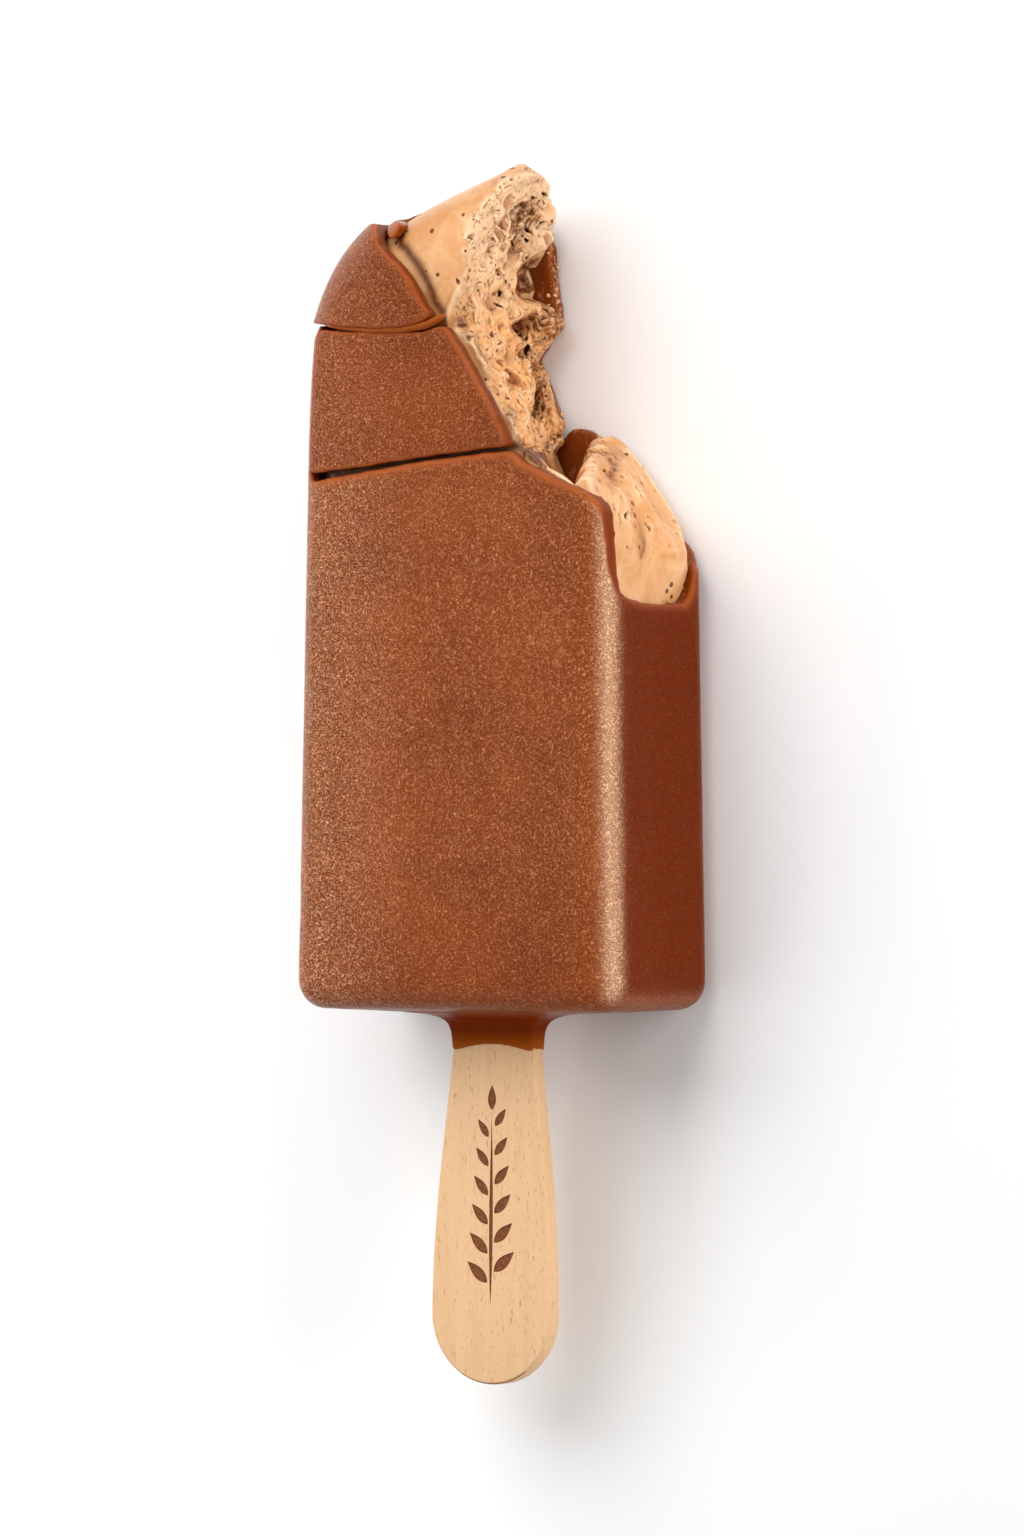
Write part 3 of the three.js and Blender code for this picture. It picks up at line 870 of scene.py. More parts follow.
@dataclass(frozen=True)
class IceCreamFinish:
    """Caramel ice cream: creamy and moist, with painted shade in its hollows and pits, and pores and fine
    strands where torn.
    """

    pale: tuple = (0.80, 0.45, 0.215, 1)
    warm: tuple = (0.66, 0.3, 0.11, 1)
    torn: tuple = (0.83, 0.41, 0.145, 1)
    frost: tuple = (0.97, 0.74, 0.5, 1)
    brown: tuple = (0.36, 0.115, 0.03, 1)
    deep: tuple = (0.1, 0.018, 0.003, 1)
    gleam: tuple = (1.0, 0.82, 0.62, 1)
    roughness: float = 0.3
    reflection: float = 0.4
    scatter: float = 0.2
    scatter_radius: tuple = (1.0, 0.5, 0.25)
    scatter_reach: float = 0.0008
    flow: float = 5.0  # how far the swirls are drawn out, in mm
    strand_width: float = 0.022
    strand_share: float = 0.8
    pore_share: float = 0.9
    skin_height: float = 0.05  # in mm, as the next two
    fold_height: float = 0.5
    pore_depth: float = 0.2

    def pores(self, sheet: Sheet, place: bpy.types.NodeSocket, scale: float,
              size: float) -> bpy.types.NodeSocket:
        """Return a mask of small pores.

        Args:
            sheet: The material's nodes.
            place: Where, in mm.
            scale: How many places for a pore there are in each mm.
            size: Radius of the largest, as a share of their spacing.

        Returns:
            An output that is 1 inside a pore.
        """
        cells = sheet.add("ShaderNodeTexVoronoi", {"feature": "F1"}, Vector=place, Scale=scale,
                          Randomness=1.0)
        chance = sheet.add("ShaderNodeSeparateColor", i0=cells.outputs["Color"]).outputs[0]
        reach = sheet.times(sheet.math("POWER", chance, 2.5), size)
        return sheet.spread(sheet.math("SUBTRACT", reach, cells.outputs["Distance"]), 0.0, size * 0.2)

    def material(self) -> bpy.types.Material:
        """Build the material.

        Returns:
            The material. It reads the mesh's relief and hollow, which are 0.5 where it is level and set
            painted shade in pits and hollows, and its torn, frosted, brown marks and stains, which run from 0
            to 1; the brown marks and stains hold painted shade too.
        """
        sheet = Sheet("ice_cream")
        relief, hollow, torn = (sheet.attribute(name) for name in ("relief", "hollow", "torn"))
        drift = sheet.add("ShaderNodeTexNoise", Vector=sheet.millimetres, Scale=0.3, Detail=2.0).outputs[1]
        flow = sheet.add("ShaderNodeVectorMath", {"operation": "MULTIPLY_ADD"}, i0=drift,
                         i1=(self.flow, self.flow, self.flow), i2=sheet.stretched((1.0, 0.6, 1.0))).outputs[0]
        swirl = sheet.grain(0.5, 2.5, 0.55, 0.8, flow)
        strand = sheet.thread(swirl, self.strand_width)
        strand = sheet.times(sheet.times(strand, sheet.spread(sheet.grain(0.55, 2), 0.47, 0.56)), torn)
        patches = sheet.spread(sheet.grain(1.1, 4, 0.65), 0.3, 0.6, 0.35)
        # brown marks: rubbed-in chocolate and painted shade in the torn face's hollows
        rub_and_shade = sheet.times(sheet.attribute("rub_and_shade"), patches)
        few = self.pores(sheet, sheet.millimetres, 0.7, 0.26)
        many = sheet.times(self.pores(sheet, flow, 0.75, 0.36), sheet.spread(torn, 0.05, 0.5))
        pore = sheet.most(few, sheet.times(many, sheet.spread(sheet.grain(0.26, 2), 0.42, 0.52)))
        colour = sheet.layered(
            sheet.blend(sheet.spread(sheet.grain(0.2, 4, 0.6, 0.6), 0.38, 0.64), self.warm, self.pale),
            (sheet.times(torn, sheet.spread(swirl, 0.36, 0.6, 0.2)), self.torn),
            (sheet.attribute("frosted"), self.frost),
            # paler on small ridges, and painted shade, brown, in the broad hollows
            (sheet.spread(relief, 0.56, 0.9, 0.0, 0.5), self.frost),
            (sheet.spread(hollow, 0.5, 0.14, 0.0, 0.92), self.brown),
            (rub_and_shade, self.brown),
            (sheet.spread(rub_and_shade, 0.5, 0.9, 0.0, 0.8), self.deep),
            # painted shade in small pits
            (sheet.spread(relief, 0.44, 0.16, 0.0, 0.95), self.deep),
            (sheet.times(strand, self.strand_share), self.brown),
            # melted chocolate stains, and painted shadow along the valley's rim and behind the coating
            (sheet.attribute("stain_and_shade"), self.deep),
            (sheet.times(pore, self.pore_share), self.deep))
        soft = sheet.relief(sheet.grain(1.2, 2, 0.5), self.skin_height)
        folds = sheet.relief(sheet.times(swirl, torn), self.fold_height, soft)
        normal = sheet.relief(sheet.most(pore, strand), -self.pore_depth, folds)
        return sheet.finish(Base_Color=colour, Roughness=self.roughness, Normal=normal,
                            Specular_IOR_Level=self.reflection, Specular_Tint=self.gleam,
                            Subsurface_Weight=self.scatter, Subsurface_Radius=self.scatter_radius,
                            Subsurface_Scale=self.scatter_reach)


@dataclass(frozen=True)
class WoodFinish:
    """Bare birch: pale, with a faint long grain and short darker flecks, browned where a mark is burnt in."""

    pale: tuple = (0.77, 0.5, 0.28, 1)
    warm: tuple = (0.74, 0.45, 0.23, 1)
    fleck: tuple = (0.52, 0.26, 0.1, 1)
    burnt: tuple = (0.13, 0.03, 0.006, 1)
    scorched: tuple = (0.24, 0.07, 0.015, 1)
    roughness: float = 0.55
    reflection: float = 0.3
    fleck_share: float = 0.8
    fleck_depth: float = 0.04  # in mm, as the next
    fibre_height: float = 0.03

    def material(self) -> bpy.types.Material:
        """Build the material, which reads the attribute burnt of the mesh."""
        sheet = Sheet("wood")
        grain = sheet.spread(sheet.grain(1.0, 4, 0.6, 0.3, sheet.stretched((0.9, 0.05, 0.9))), 0.3, 0.7)
        fleck = sheet.spread(sheet.grain(1.0, 2, 0.5, 0.2, sheet.stretched((4.5, 0.9, 4.5))), 0.63, 0.73)
        char = sheet.blend(sheet.spread(sheet.grain(2.5, 3), 0.35, 0.65), self.burnt, self.scorched)
        colour = sheet.layered(
            sheet.blend(grain, self.warm, self.pale),
            (sheet.times(fleck, self.fleck_share), self.fleck),
            (sheet.attribute("burnt"), char))
        fibre = sheet.grain(1.0, 3, 0.6, 0.0, sheet.stretched((7.0, 0.9, 7.0)))
        return sheet.finish(Base_Color=colour, Roughness=self.roughness,
                            Normal=sheet.relief(fleck, -self.fleck_depth,
                                                sheet.relief(fibre, self.fibre_height)),
                            Specular_IOR_Level=self.reflection)


# ---- the coating ---------------------------------------------------------------------------------

MID_Z = BAR.middle
STICK_SLIT = 0.03  # between the stick and the chocolate round it, in mm


@dataclass
class Coating:
    """The chocolate coating: the main piece with its collar, and the pieces that have come off it."""

    seam_foot_x: float = -20.9
    seam_top_x: float = -19.7
    dome_seam_y: float = 84.7
    corner_back_z: float = MID_Z - 8.2
    corner_front_z: float = MID_Z + 7.5
    gap: float = 0.3
    voxel: float = 0.4
    shard_voxel: float = 0.25
    flake_voxel: float = 0.13
    most: int = 190_000  # triangles of the main piece
    shard_most: int = 90_000
    flake_most: int = 20_000
    middle_lift: float = 0.4
    top_lift: float = 0.9
    flake_thickness: float = 1.3
    collar_arch: float = 1.1  # how much further down the collar reaches at the stick's edges
    bead_radius: float = 0.55
    # where the painted highlight lies: the surface's lean from the front, and how far the band reaches
    highlight_lean: float = 55.0  # of the palest line along the bar's edges from its front, in degrees
    highlight_reach: float = 15.0
    spread: int = 8  # how softly the numbers that the finish reads pass into each other, in rounds
    bead_path: tuple = ((-19.4, 85.9), (-16, 85.3), (-11.5, 84.8), (-6.7, 84.75), (-3, 85.2), (-0.2, 86.3))
    front_rim: tuple = (
        (-20.9, 66), (-12, 67.3), (-3.8, 68.4), (1.7, 68.8), (4.5, 69.2), (9.2, 69.4), (10.5, 68), (13, 67),
        (16.6, 65.4), (19.9, 64), (21.1, 62.9), (21.7, 61.5))
    side_rim: tuple = (
        (MID_Z + 8.5, 51.5), (MID_Z + 3.9, 50.7), (MID_Z - 2.2, 50.5), (MID_Z - 5, 50.8), (MID_Z - 6.7, 50.6),
        (MID_Z - 7.5, 51.2), (MID_Z - 8.2, 52.3), (MID_Z - 9, 54))
    back_rim: tuple = (
        (-15, 99.4), (-11.5, 100.5), (-5, 101.2), (-1, 100), (0.2, 98.8), (0.5, 94.4), (0.9, 90.2), (1.8, 86),
        (-2, 81.9), (-0.7, 79), (0.5, 76.7), (1.7, 73.3), (1.2, 72.5), (-1.6, 72.8), (-1.5, 71.3), (1, 70),
        (1.3, 69.8), (2.4, 71.7), (3.4, 73), (5.7, 72.9), (7.3, 71.7), (12, 66.6), (16.4, 61.1), (18.8, 59),
        (20.8, 57.3))
    middle_outline: tuple = (
        (-20, 67.1), (-12, 67.8), (-3.8, 68.8), (4.5, 69.6), (9, 69.9), (6, 75.6), (2.3, 81.3), (-0.6, 85.2),
        (-3, 84.4), (-10, 84.3), (-17, 84.9), (-19.4, 85.2), (-20.6, 67.7))
    top_outline: tuple = (
        (-21, 86), (-17, 85.4), (-10, 84.8), (-4.5, 85.1), (-2, 86.2), (-3.4, 87.7), (-4.7, 90), (-6.7, 92.4),
        (-9.1, 94.3), (-10.4, 95.1), (-11.6, 96.8), (-13.2, 98.2))
    flake_outline: tuple = (
        (-12.2, 98.1), (-11, 96.9), (-10, 95.9), (-8.8, 97.2), (-9.6, 98.4), (-11.2, 98.7))

    def proud_rim(self, x: float, y: float, z: float) -> Sequence[float]:
        """Return a point of the shell, moved where the back's broken rim stands proud of the dome."""
        push = 1.5 * bump(math.hypot(x + 15.5, y - 98.5) / 4) * clamp01((z - 4) / 6)
        return x - 0.75 * push, y + 0.65 * push, z

    def collar(self) -> bpy.types.Object:
        """Build the chocolate that has run down the stick, with its fillet up to the bar.

        Returns:
            The collar, in mm.
        """
        around, squareness = 96, 9
        neck = (Stick.neck / 2 + 0.35, Stick.thickness / 2 + 0.35)
        levels = (
            (-4.3, 0, 0), (-4.3, neck[0] - 0.42, neck[1] - 0.42), (-4.27, neck[0] - 0.25, neck[1] - 0.25),
            (-4.1, neck[0] - 0.08, neck[1] - 0.08), (-3.8, *neck), (-3.1, neck[0] + 0.06, neck[1] + 0.05),
            (-2.4, neck[0] + 0.15, neck[1] + 0.15), (-1.8, neck[0] + 0.4, neck[1] + 0.4),
            (-1.3, neck[0] + 0.8, neck[1] + 0.85), (-0.9, neck[0] + 1.5, neck[1] + 1.5),
            (-0.6, neck[0] + 2.5, neck[1] + 2.3), (-0.42, neck[0] + 3.8, neck[1] + 3.2),
            (-0.3, neck[0] + 5.2, neck[1] + 4.2), (1.4, neck[0] + 5.4, neck[1] + 4.4), (1.4, 0, 0))

        def place(level: int, turn: int) -> Sequence[float]:
            """Return the place of one point of one ring."""
            y, half_x, half_z = levels[level]
            angle = turn / around * 2 * math.pi
            x, z = math.cos(angle), math.sin(angle)
            reach = 1 / (abs(x) ** squareness + abs(z) ** squareness) ** (1 / squareness)
            arch = self.collar_arch * (half_x * x * reach / neck[0]) ** 2 * ramp(y, -1.5, -4)
            return Stick.offset + half_x * x * reach, y - arch, MID_Z + half_z * z * reach

        collar = lofted("coating_collar", around, len(levels), place)
        combine(collar, Stick().solid(STICK_SLIT), Join.CUT)
        return collar

    def bead(self) -> bpy.types.Object:
        """Build the melted bead of chocolate that lies along the top shard's lower rim."""
        path = softened(self.bead_path, 0.25, 4)
        around = 20

        def place(level: int, turn: int) -> Sequence[float]:
            """Return the place of one point of one ring."""
            x, y = path[level]
            share = level / (len(path) - 1)
            ends = math.sqrt(max(0.0, 1 - (2 * share - 1) ** 10))
            radius = lerp(0.36, self.bead_radius, ramp(share, 0.1, 0.75)) * ends
            angle = turn / around * 2 * math.pi
            rise = BAR.thickness - 0.25 - 1.5 * ramp(x, -16.5, -19.8)
            return x, y + radius * math.cos(angle), rise + radius * math.sin(angle)

        return lofted("coating_bead", around, len(path), place)

    def main_shell(self) -> bpy.types.Object:
        """Build the main piece of the coating.

        Returns:
            The piece, in mm.
        """
        shell = BAR.solid(0, self.proud_rim)
        combine(shell, BAR.solid(COATING), Join.CUT)
        foot, top, seam = self.seam_foot_x, self.seam_top_x, self.dome_seam_y
        back, front, over = self.corner_back_z, self.corner_front_z, 2 * FAR
        for rim, rest, low, high, axis, seed in (
                (self.front_rim, [(FAR, 61.5), (FAR, over), (top, over), (top, seam), (foot, 66.1)],
                 front, FAR, Axis.Z, 1),
                ([(-21, seam + 1), (-17, seam + 0.4), (-12, seam), (12, seam)],
                 [(FAR, seam), (FAR, over), (-FAR, over), (-FAR, seam + 1)], MID_Z - 1, FAR, Axis.Z, 2),
                (self.side_rim, [(back - 1, 54.6), (back - 1, over), (front + 1, over)], 12, FAR, Axis.X, 3),
                ([(22.6, 51.4), (21.7, 61.5), (21.4, 66)], [(FAR, 66), (FAR, 51.4)],
                 front - 1, FAR, Axis.Z, 4),
                (self.back_rim, [(22, 55.2), (FAR, 53), (FAR, over), (-FAR, over), (-FAR, 99.4)],
                 -FAR, back, Axis.Z, 5),
                (self.back_rim[:4], [(-1, 70), (12, 60), (12, over), (-FAR, over), (-FAR, 99.4)],
                 back - 1, front + 1, Axis.Z, 5)):
            combine(shell, prism(rim, rest, low, high, axis, seed), Join.CUT)
        combine(shell, Stick().solid(STICK_SLIT), Join.CUT)
        shell.name = "coating_main_shell"
        return shell

    def shard(self, name: str, outline: Sequence[Point], rest: Sequence[Point], lift: float, from_z: float,
              thickness: float = COATING, seed: float = 0.0) -> bpy.types.Object:
        """Build a piece of coating that has come loose.

        Args:
            name: Its name.
            outline: Its broken rim, in X and Y.
            rest: Corners that close the outline beyond the bar.
            lift: How far it stands off its place, in mm.
            from_z: The height of its back rim.
            thickness: How thick it is.
            seed: Which roughness its fracture has.

        Returns:
            The piece, in mm.
        """
        piece = BAR.solid(-lift)
        combine(piece, BAR.solid(thickness - lift), Join.CUT)
        combine(piece, prism(outline, rest, from_z, FAR, Axis.Z, seed), Join.KEEP)
        piece.name = name
        return piece

    def dress(self, piece: bpy.types.Object, lift: float = 0.0, shape: Place | None = None) -> None:
        """Keep on a piece of coating the numbers that its finish reads.

        Args:
            piece: The piece, in mm.
            lift: How far it stands off its place, in mm.
            shape: Moves each point of the moulded surface, where the form departs from the mould.
        """
        mesh, spread = piece.data, self.spread
        places, normals = vertex_array(mesh), vertex_array(mesh, "normal")
        x, y, z = places.T
        out_x, out_y, out_z = normals.T
        mould = BAR.solid(-lift, shape)
        depth = distance_to(mould, places)
        discard(mould)
        near = Neighbours(mesh)
        rounded = np.clip((1 - np.abs(normals).max(axis=1)) / 0.28, 0, 1)
        broken = ((depth > 0.35) & (depth < COATING - 0.3)).astype(float)
        store(mesh, "depth", depth)
        # edge: rounded rims, where the coating thins, and painted warm light along the front right edge
        # beside the painted highlight
        painted_edge_warmth = np.clip((x - 16) / 5, 0, 1) * np.clip(2 * out_z - 0.6, 0, 1) * (y < 62)
        store(mesh, "edge", near.average(np.maximum(rounded, 0.8 * painted_edge_warmth), 2 * spread))
        store(mesh, "margin", np.clip(near.average(broken, 2 * spread) * 4, 0, 1))
        # painted shade: darker colour on faces turned to the right side, a little towards the stick end and
        # on the loose shards; it also lowers their specular
        foot = 0.3 * np.clip((20 - y) / 16, 0, 1)
        side_shade = np.maximum(np.clip((out_x - 0.8) / 0.18, 0, 1), np.maximum(foot, 0.2 if lift else 0.0))
        store(mesh, "flank", near.average(side_shade, spread))
        # painted highlight along the right front edge, where the surface leans about 55 degrees from the
        # front
        lean = np.degrees(np.arctan2(np.abs(out_x), out_z))
        painted_highlight = np.exp(-((lean - self.highlight_lean) / self.highlight_reach) ** 2)
        painted_highlight *= np.clip(1.6 - 2 * np.abs(out_y), 0, 1)
        store(mesh, "painted_highlight", near.average(painted_highlight, spread) * np.clip((z - MID_Z) / 4, 0, 1) * (x > 0))
        # painted sheen over the left part of the front, weaker on the loose shards
        painted_sheen = np.clip((-5 - x) / 15, 0, 1) * np.clip(out_z * 2 - 0.4, 0, 1)
        store(mesh, "painted_sheen", near.average(painted_sheen, spread) * (0.4 if lift else 1.0))
        store(mesh, "film", 0.0)

    def unevenness(self, at: Vector) -> float:
        """Return how far the coating swells at a place, in mm; its flat back stays flat."""
        return (0.06 * noise.noise(at * 0.16) + 0.03 * noise.noise(at * 0.9)) * ramp(at.z, 0.6, 3)

    def skin(self, piece: bpy.types.Object, voxel: float, smoothing: int, most: int, lift: float = 0.0,
             hidden: Marker | None = None, shape: Place | None = None) -> None:
        """Give a piece of coating its rounded rims and slight unevenness, and dress it.

        Args:
            piece: The piece, in mm.
            voxel: Width of its faces, in mm.
            smoothing: Rounds of smoothing.
            most: The most triangles it may have.
            lift: How far it stands off its place, in mm.
            hidden: Gives each vertex 1 where it doesn't show.
            shape: Moves each point of the moulded surface, where the form departs from the mould.
        """
        remesh(piece, voxel, smoothing)
        sculpt(piece, self.unevenness)
        thin_out(piece, most, hidden)
        self.dress(piece, lift, shape=shape)

    def build(self, material: bpy.types.Material) -> None:
        """Build every piece of the coating.

        Args:
            material: Their finish.
        """
        main = self.main_shell()
        self.skin(main, self.voxel, 3, self.most, 0, lambda at: (at[:, 1] < 46).astype(float), self.proud_rim)
        x, y, z = vertex_array(main.data).T
        store(main.data, "frosty", ((y > 73) & (x > -3) & (z < 9)) * 0.7)
        finish_piece(main, material, "chocolate", "coating_main")

        collar = self.collar()
        remesh(collar, 0.15, 4)
        self.dress(collar)
        reach = -vertex_array(collar.data)[:, 1]
        # the collar takes the flank's darker colour and lower specular, down to where its film begins
        for name, values in (("film", np.clip((reach - 2.4) / 2.2, 0, 1)), ("margin", np.clip(reach, 0, 1)),
                             ("depth", 0.0), ("flank", np.clip(reach, 0, 1))):
            store(collar.data, name, values)
        finish_piece(collar, material, "chocolate", "coating_main")

        middle = self.shard("shard_middle", self.middle_outline, [], self.middle_lift, MID_Z, seed=6)
        self.skin(middle, self.shard_voxel, 3, self.shard_most, self.middle_lift)
        finish_piece(middle, material, "chocolate", "coating_shard_middle")

        top = self.shard("shard_top", self.top_outline, [(-FAR, 98.8), (-FAR, 86)], self.top_lift,
                         MID_Z - 1 + self.gap, seed=7)
        self.skin(top, self.shard_voxel, 3, self.shard_most, self.top_lift)
        finish_piece(top, material, "chocolate", "coating_shard_top")

        bead = self.bead()
        self.dress(bead)
        store(bead.data, "film", 0.6)
        finish_piece(bead, material, "chocolate", "coating_shard_top")

        flake = self.shard("flake", self.flake_outline, [], self.flake_thickness - COATING, MID_Z + 1,
                           self.flake_thickness, 8)
        self.skin(flake, self.flake_voxel, 4, self.flake_most)
        for name, share in (("depth", 0.0), ("film", 0.3), ("edge", 0.0), ("margin", 0.9)):
            store(flake.data, name, share)
        finish_piece(flake, material, "chocolate", "coating_flake")


# ---- the ice cream -------------------------------------------------------------------------------


@dataclass(frozen=True)
class TornForm:
    """A hollow or a lump of the torn face."""

    y: float
    z: float  # from the bar's middle plane
    half_y: float
    half_z: float
    height: float  # negative for a hollow

    def at(self, y: float, z: float) -> float:
        """Return the form's height at a place on the torn face."""
        return self.height * bump(math.hypot((y - self.y) / self.half_y, (z - MID_Z - self.z) / self.half_z))


@dataclass
class IceCream:
    """The ice cream: smooth where moulded, torn on the standing end, rounded in the lump beside it."""

    inset: float = COATING + 0.08
    voxel: float = 0.29
    most: int = 195_000  # triangles
    torn_spans: tuple = ((48, 112), (-2, 28))  # the Y and Z that the torn face covers
    top_spans: tuple = ((-3, 27), (-2, 28))  # the X and Z that the lower bar's bitten top covers
    tear_front: tuple = (
        (60, 12), (70, 9.2), (76, 6.2), (82, 2.6), (86, 0), (92, 1.3), (98, 2.2), (104, 4.8), (112, 9))
    tear_back: tuple = (
        (60, 2.6), (70, 1.4), (74, 1.6), (77, 0.7), (79.5, -0.2), (81.7, -1.2), (84, 0.5), (86, 1.2),
        (88.3, 0.5), (89.4, -1.2), (92, -1.5), (94.3, -1), (95.6, 0.4), (98, 0.3), (102, 2.6), (105, 5),
        (112, 9))
    forms: tuple = (
        TornForm(96, -3, 1.6, 2.2, -2.4), TornForm(97.5, -8.2, 2.2, 1.8, 2),
        TornForm(91.5, -8.4, 3, 1.6, -2.6), TornForm(85, -5.4, 1.5, 1.5, -3.2),
        TornForm(86.2, -8.8, 2.2, 2.0, 2.6), TornForm(78.6, -4.2, 2.2, 2, 1.5),
        TornForm(75, -5.2, 2.8, 1.8, -2.2), TornForm(73.8, -9, 2.4, 1.6, 2.4))
    fine_forms: tuple = (
        TornForm(99.5, -2.4, 1.0, 0.9, -1.5), TornForm(99.2, -6.2, 0.9, 1.0, 1.1),
        TornForm(96.2, -0.8, 1.0, 0.5, -1.3), TornForm(96.4, -4.6, 1.2, 0.45, -1.6),
        TornForm(95.6, -2.6, 1.5, 0.6, 1.1), TornForm(88.3, 4, 0.5, 1.6, -0.6),
        TornForm(87.6, 1.6, 0.5, 1.6, -0.7), TornForm(91, 0, 1.2, 1.4, 0.5),
        TornForm(82, -7.5, 1.0, 1.4, 0.8), TornForm(80, -6.5, 0.8, 0.8, -0.9),
        TornForm(76.5, -4.4, 0.9, 0.8, -1.2), TornForm(77.8, -7.8, 0.9, 0.9, 0.9),
        TornForm(101.8, -4, 1.2, 1.0, 0.7), TornForm(103.2, -6.5, 1.4, 1.2, 0.6))
    lump_back: tuple = (9.4, 71.8, MID_Z - 7)
    lump_front: tuple = (18.0, 66.0, MID_Z + 9.5)
    lump_shoulder: float = 18.8
    face_lean: float = 0.62  # of the hollow face along the lump's crest: its X for each mm of Z
    face_x: float = 6.8
    split_y: float = 46.0
    crumbly: tuple = ((86, -8.2, 2.6), (79, -7.2, 3.2), (75.5, -5.5, 2.4), (99, -4, 2.2))  # Y, Z, radius
    # brown spots of rubbed-in chocolate and painted shade, mostly over the torn face's hollows
    rub_and_shade_spots: tuple = (  # Y, Z from the middle, half height, half width, how brown
        (99.4, -2.6, 2.2, 1.8, 0.9), (96.3, -4.2, 2.0, 0.8, 0.7), (91.5, -8.6, 4.0, 2.2, 1.0),
        (92, -6.4, 2.2, 1.0, 0.6), (85.4, -5.6, 2.6, 1.4, 1.0), (86, -8.8, 2.6, 2.6, 0.7),
        (88.6, 2.5, 0.9, 3.0, 0.45), (79.5, -8.2, 4.0, 2.6, 0.75), (76.3, -6.0, 2.4, 1.6, 1.0),
        (73.8, -9.5, 2.4, 1.8, 0.85), (67.6, 2.0, 1.5, 7.0, 0.7), (103.5, -8, 2.4, 1.4, 0.4))
    lump_folds: tuple = (  # Z from the middle, from Y, to Y, height
        (2.4, 55, 70, 0.3), (-0.4, 53, 70, -0.26), (-3.2, 52, 68, 0.26), (5.8, 58, 70, -0.3))
    front_ridge: tuple = ((84, -2.2), (87.4, -1.05), (90.6, 0.55), (95, 1.2), (99, 1.6))
    cap_rim: tuple = (
        (-9.6, 97.8), (-9.1, 95.6), (-7.9, 94.9), (-6.0, 93), (-4.3, 90.6), (-3.2, 88.1), (-2.2, 86.9))
    middle_rim: tuple = ((-0.5, 86), (2.3, 81.9), (6, 76.2), (9, 70.3))
    valley_rim: tuple = ((4.5, 69.9), (9.2, 70.0), (10.8, 68.8), (13, 67.7))

    def share_through(self, z: float) -> float:
        """Return how far Z lies from the ice cream's back (0) to its front (1)."""
        return clamp01((z - 2.4) / (BAR.thickness - 4.8))

    def torn_relief(self, y: float, z: float) -> float:
        """Return the folds and pits of the torn face, which grow wilder towards the back."""
        wild = lerp(0.12, 1.0, ramp(z, MID_Z + 7, MID_Z - 3))
        place = Vector((y, z, 3.7))
        warped = place + 1.8 * noise.noise_vector(place * 0.22)
        lumps = 0.9 * noise.noise(warped * 0.33 + Vector((0, 0, 5)))
        folds = -0.9 * bump(noise.noise(warped * 0.27) / 0.05)
        creases = -0.35 * bump(noise.noise(warped * 0.6 + Vector((0, 0, 9))) / 0.05)
        pits = -2.6 * ramp(noise.noise(warped * 0.62 + Vector((7, 3, 1))), 0.3, 0.42)
        return wild * (lumps + folds + creases + pits)

    def torn_face(self, y: float, z: float) -> float:
        """Return how far the standing end reaches in X."""
        x = lerp(along(self.tear_back, y), along(self.tear_front, y), self.share_through(z))
        x += sum(form.at(y, z) for form in self.forms) + sum(form.at(y, z) for form in self.fine_forms)
        return x + 0.75 * waves(y, z, 8, 1.3) + 0.3 * waves(z, y, 4.2, 4.1) + self.torn_relief(y, z)

    def bitten_top(self, x: float, z: float) -> float:
        """Return how far the lower bar reaches in Y: the hollow beside the standing end, and the lump."""
        share = clamp01((z - self.lump_back[2]) / (self.lump_front[2] - self.lump_back[2]))
        crest_x = lerp(self.lump_back[0], self.lump_front[0], share)
        crest_y = lerp(self.lump_back[1], self.lump_front[1], share)
        right, left = max(0.0, x - crest_x - 1), max(0.0, crest_x - x)
        fall = lerp(0.64, 0.85, ramp(z, MID_Z - 5, MID_Z + 1))
        shoulder = lerp(self.lump_shoulder + 3, self.lump_shoulder, ramp(z, MID_Z - 5, MID_Z + 1))
        lump = (crest_y - fall * right**1.28 - 2 * max(0.0, x - shoulder) ** 1.5 - 1.1 * left**2
                + 0.35 * waves(x, z, 6, 2.2)
                - 1.3 * bump(math.hypot((x - self.face_lean * z - self.face_x) / 1.8, (z - MID_Z - 1) / 8)))
        foot = lerp(1.4, 9.6, self.share_through(z))
        floor = lerp(64.6, 63.6, share)
        hollow = max(floor, 69.7 - lerp(1.7, 0.62, share) * max(0.0, x - foot)) + 0.3 * waves(x, z, 4.5, 5.6)
        return max(lump, hollow) if x < crest_x else lump

    def pushed_out(self, x: float, y: float, z: float) -> Sequence[float]:
        """Return a point of the core, moved where the lump's side has been pushed out."""
        push = 1.8 * bump((y - 56) / 3.4) * bump((z - MID_Z + 6.5) / 3.6) if x > 0 else 0.0
        return x + push, y, z

    def tool(self, spans: tuple[Point, Point], place: Callable[[float, float], Sequence[float]],
             beyond: Vector, step: float = 0.35) -> bpy.types.Object:
        """Build a tool solid with one shaped face.

        Args:
            spans: The two ranges that the face covers, in mm.
            place: Gives the face's point for a place in those ranges.
            beyond: Where the solid's far side lies; an axis with 0 isn't changed.
            step: Width of the face's squares, in mm.

        Returns:
            The tool solid.
        """
        (u0, u1), (v0, v1) = spans
        across, up = round((u1 - u0) / step), round((v1 - v0) / step)
        bm = bmesh.new()
        bmesh.ops.create_grid(bm, x_segments=across, y_segments=up, size=1)
        grown = bmesh.ops.extrude_face_region(bm, geom=bm.faces[:])["geom"]
        far_side = {item for item in grown if isinstance(item, bmesh.types.BMVert)}
        for vert in bm.verts:
            point = Vector(place(lerp(u0, u1, (vert.co.x + 1) / 2), lerp(v0, v1, (vert.co.y + 1) / 2)))
            if vert in far_side:
                point = Vector(beyond[axis] or point[axis] for axis in range(3))
            vert.co = point
        return solid_piece("tool", bm)

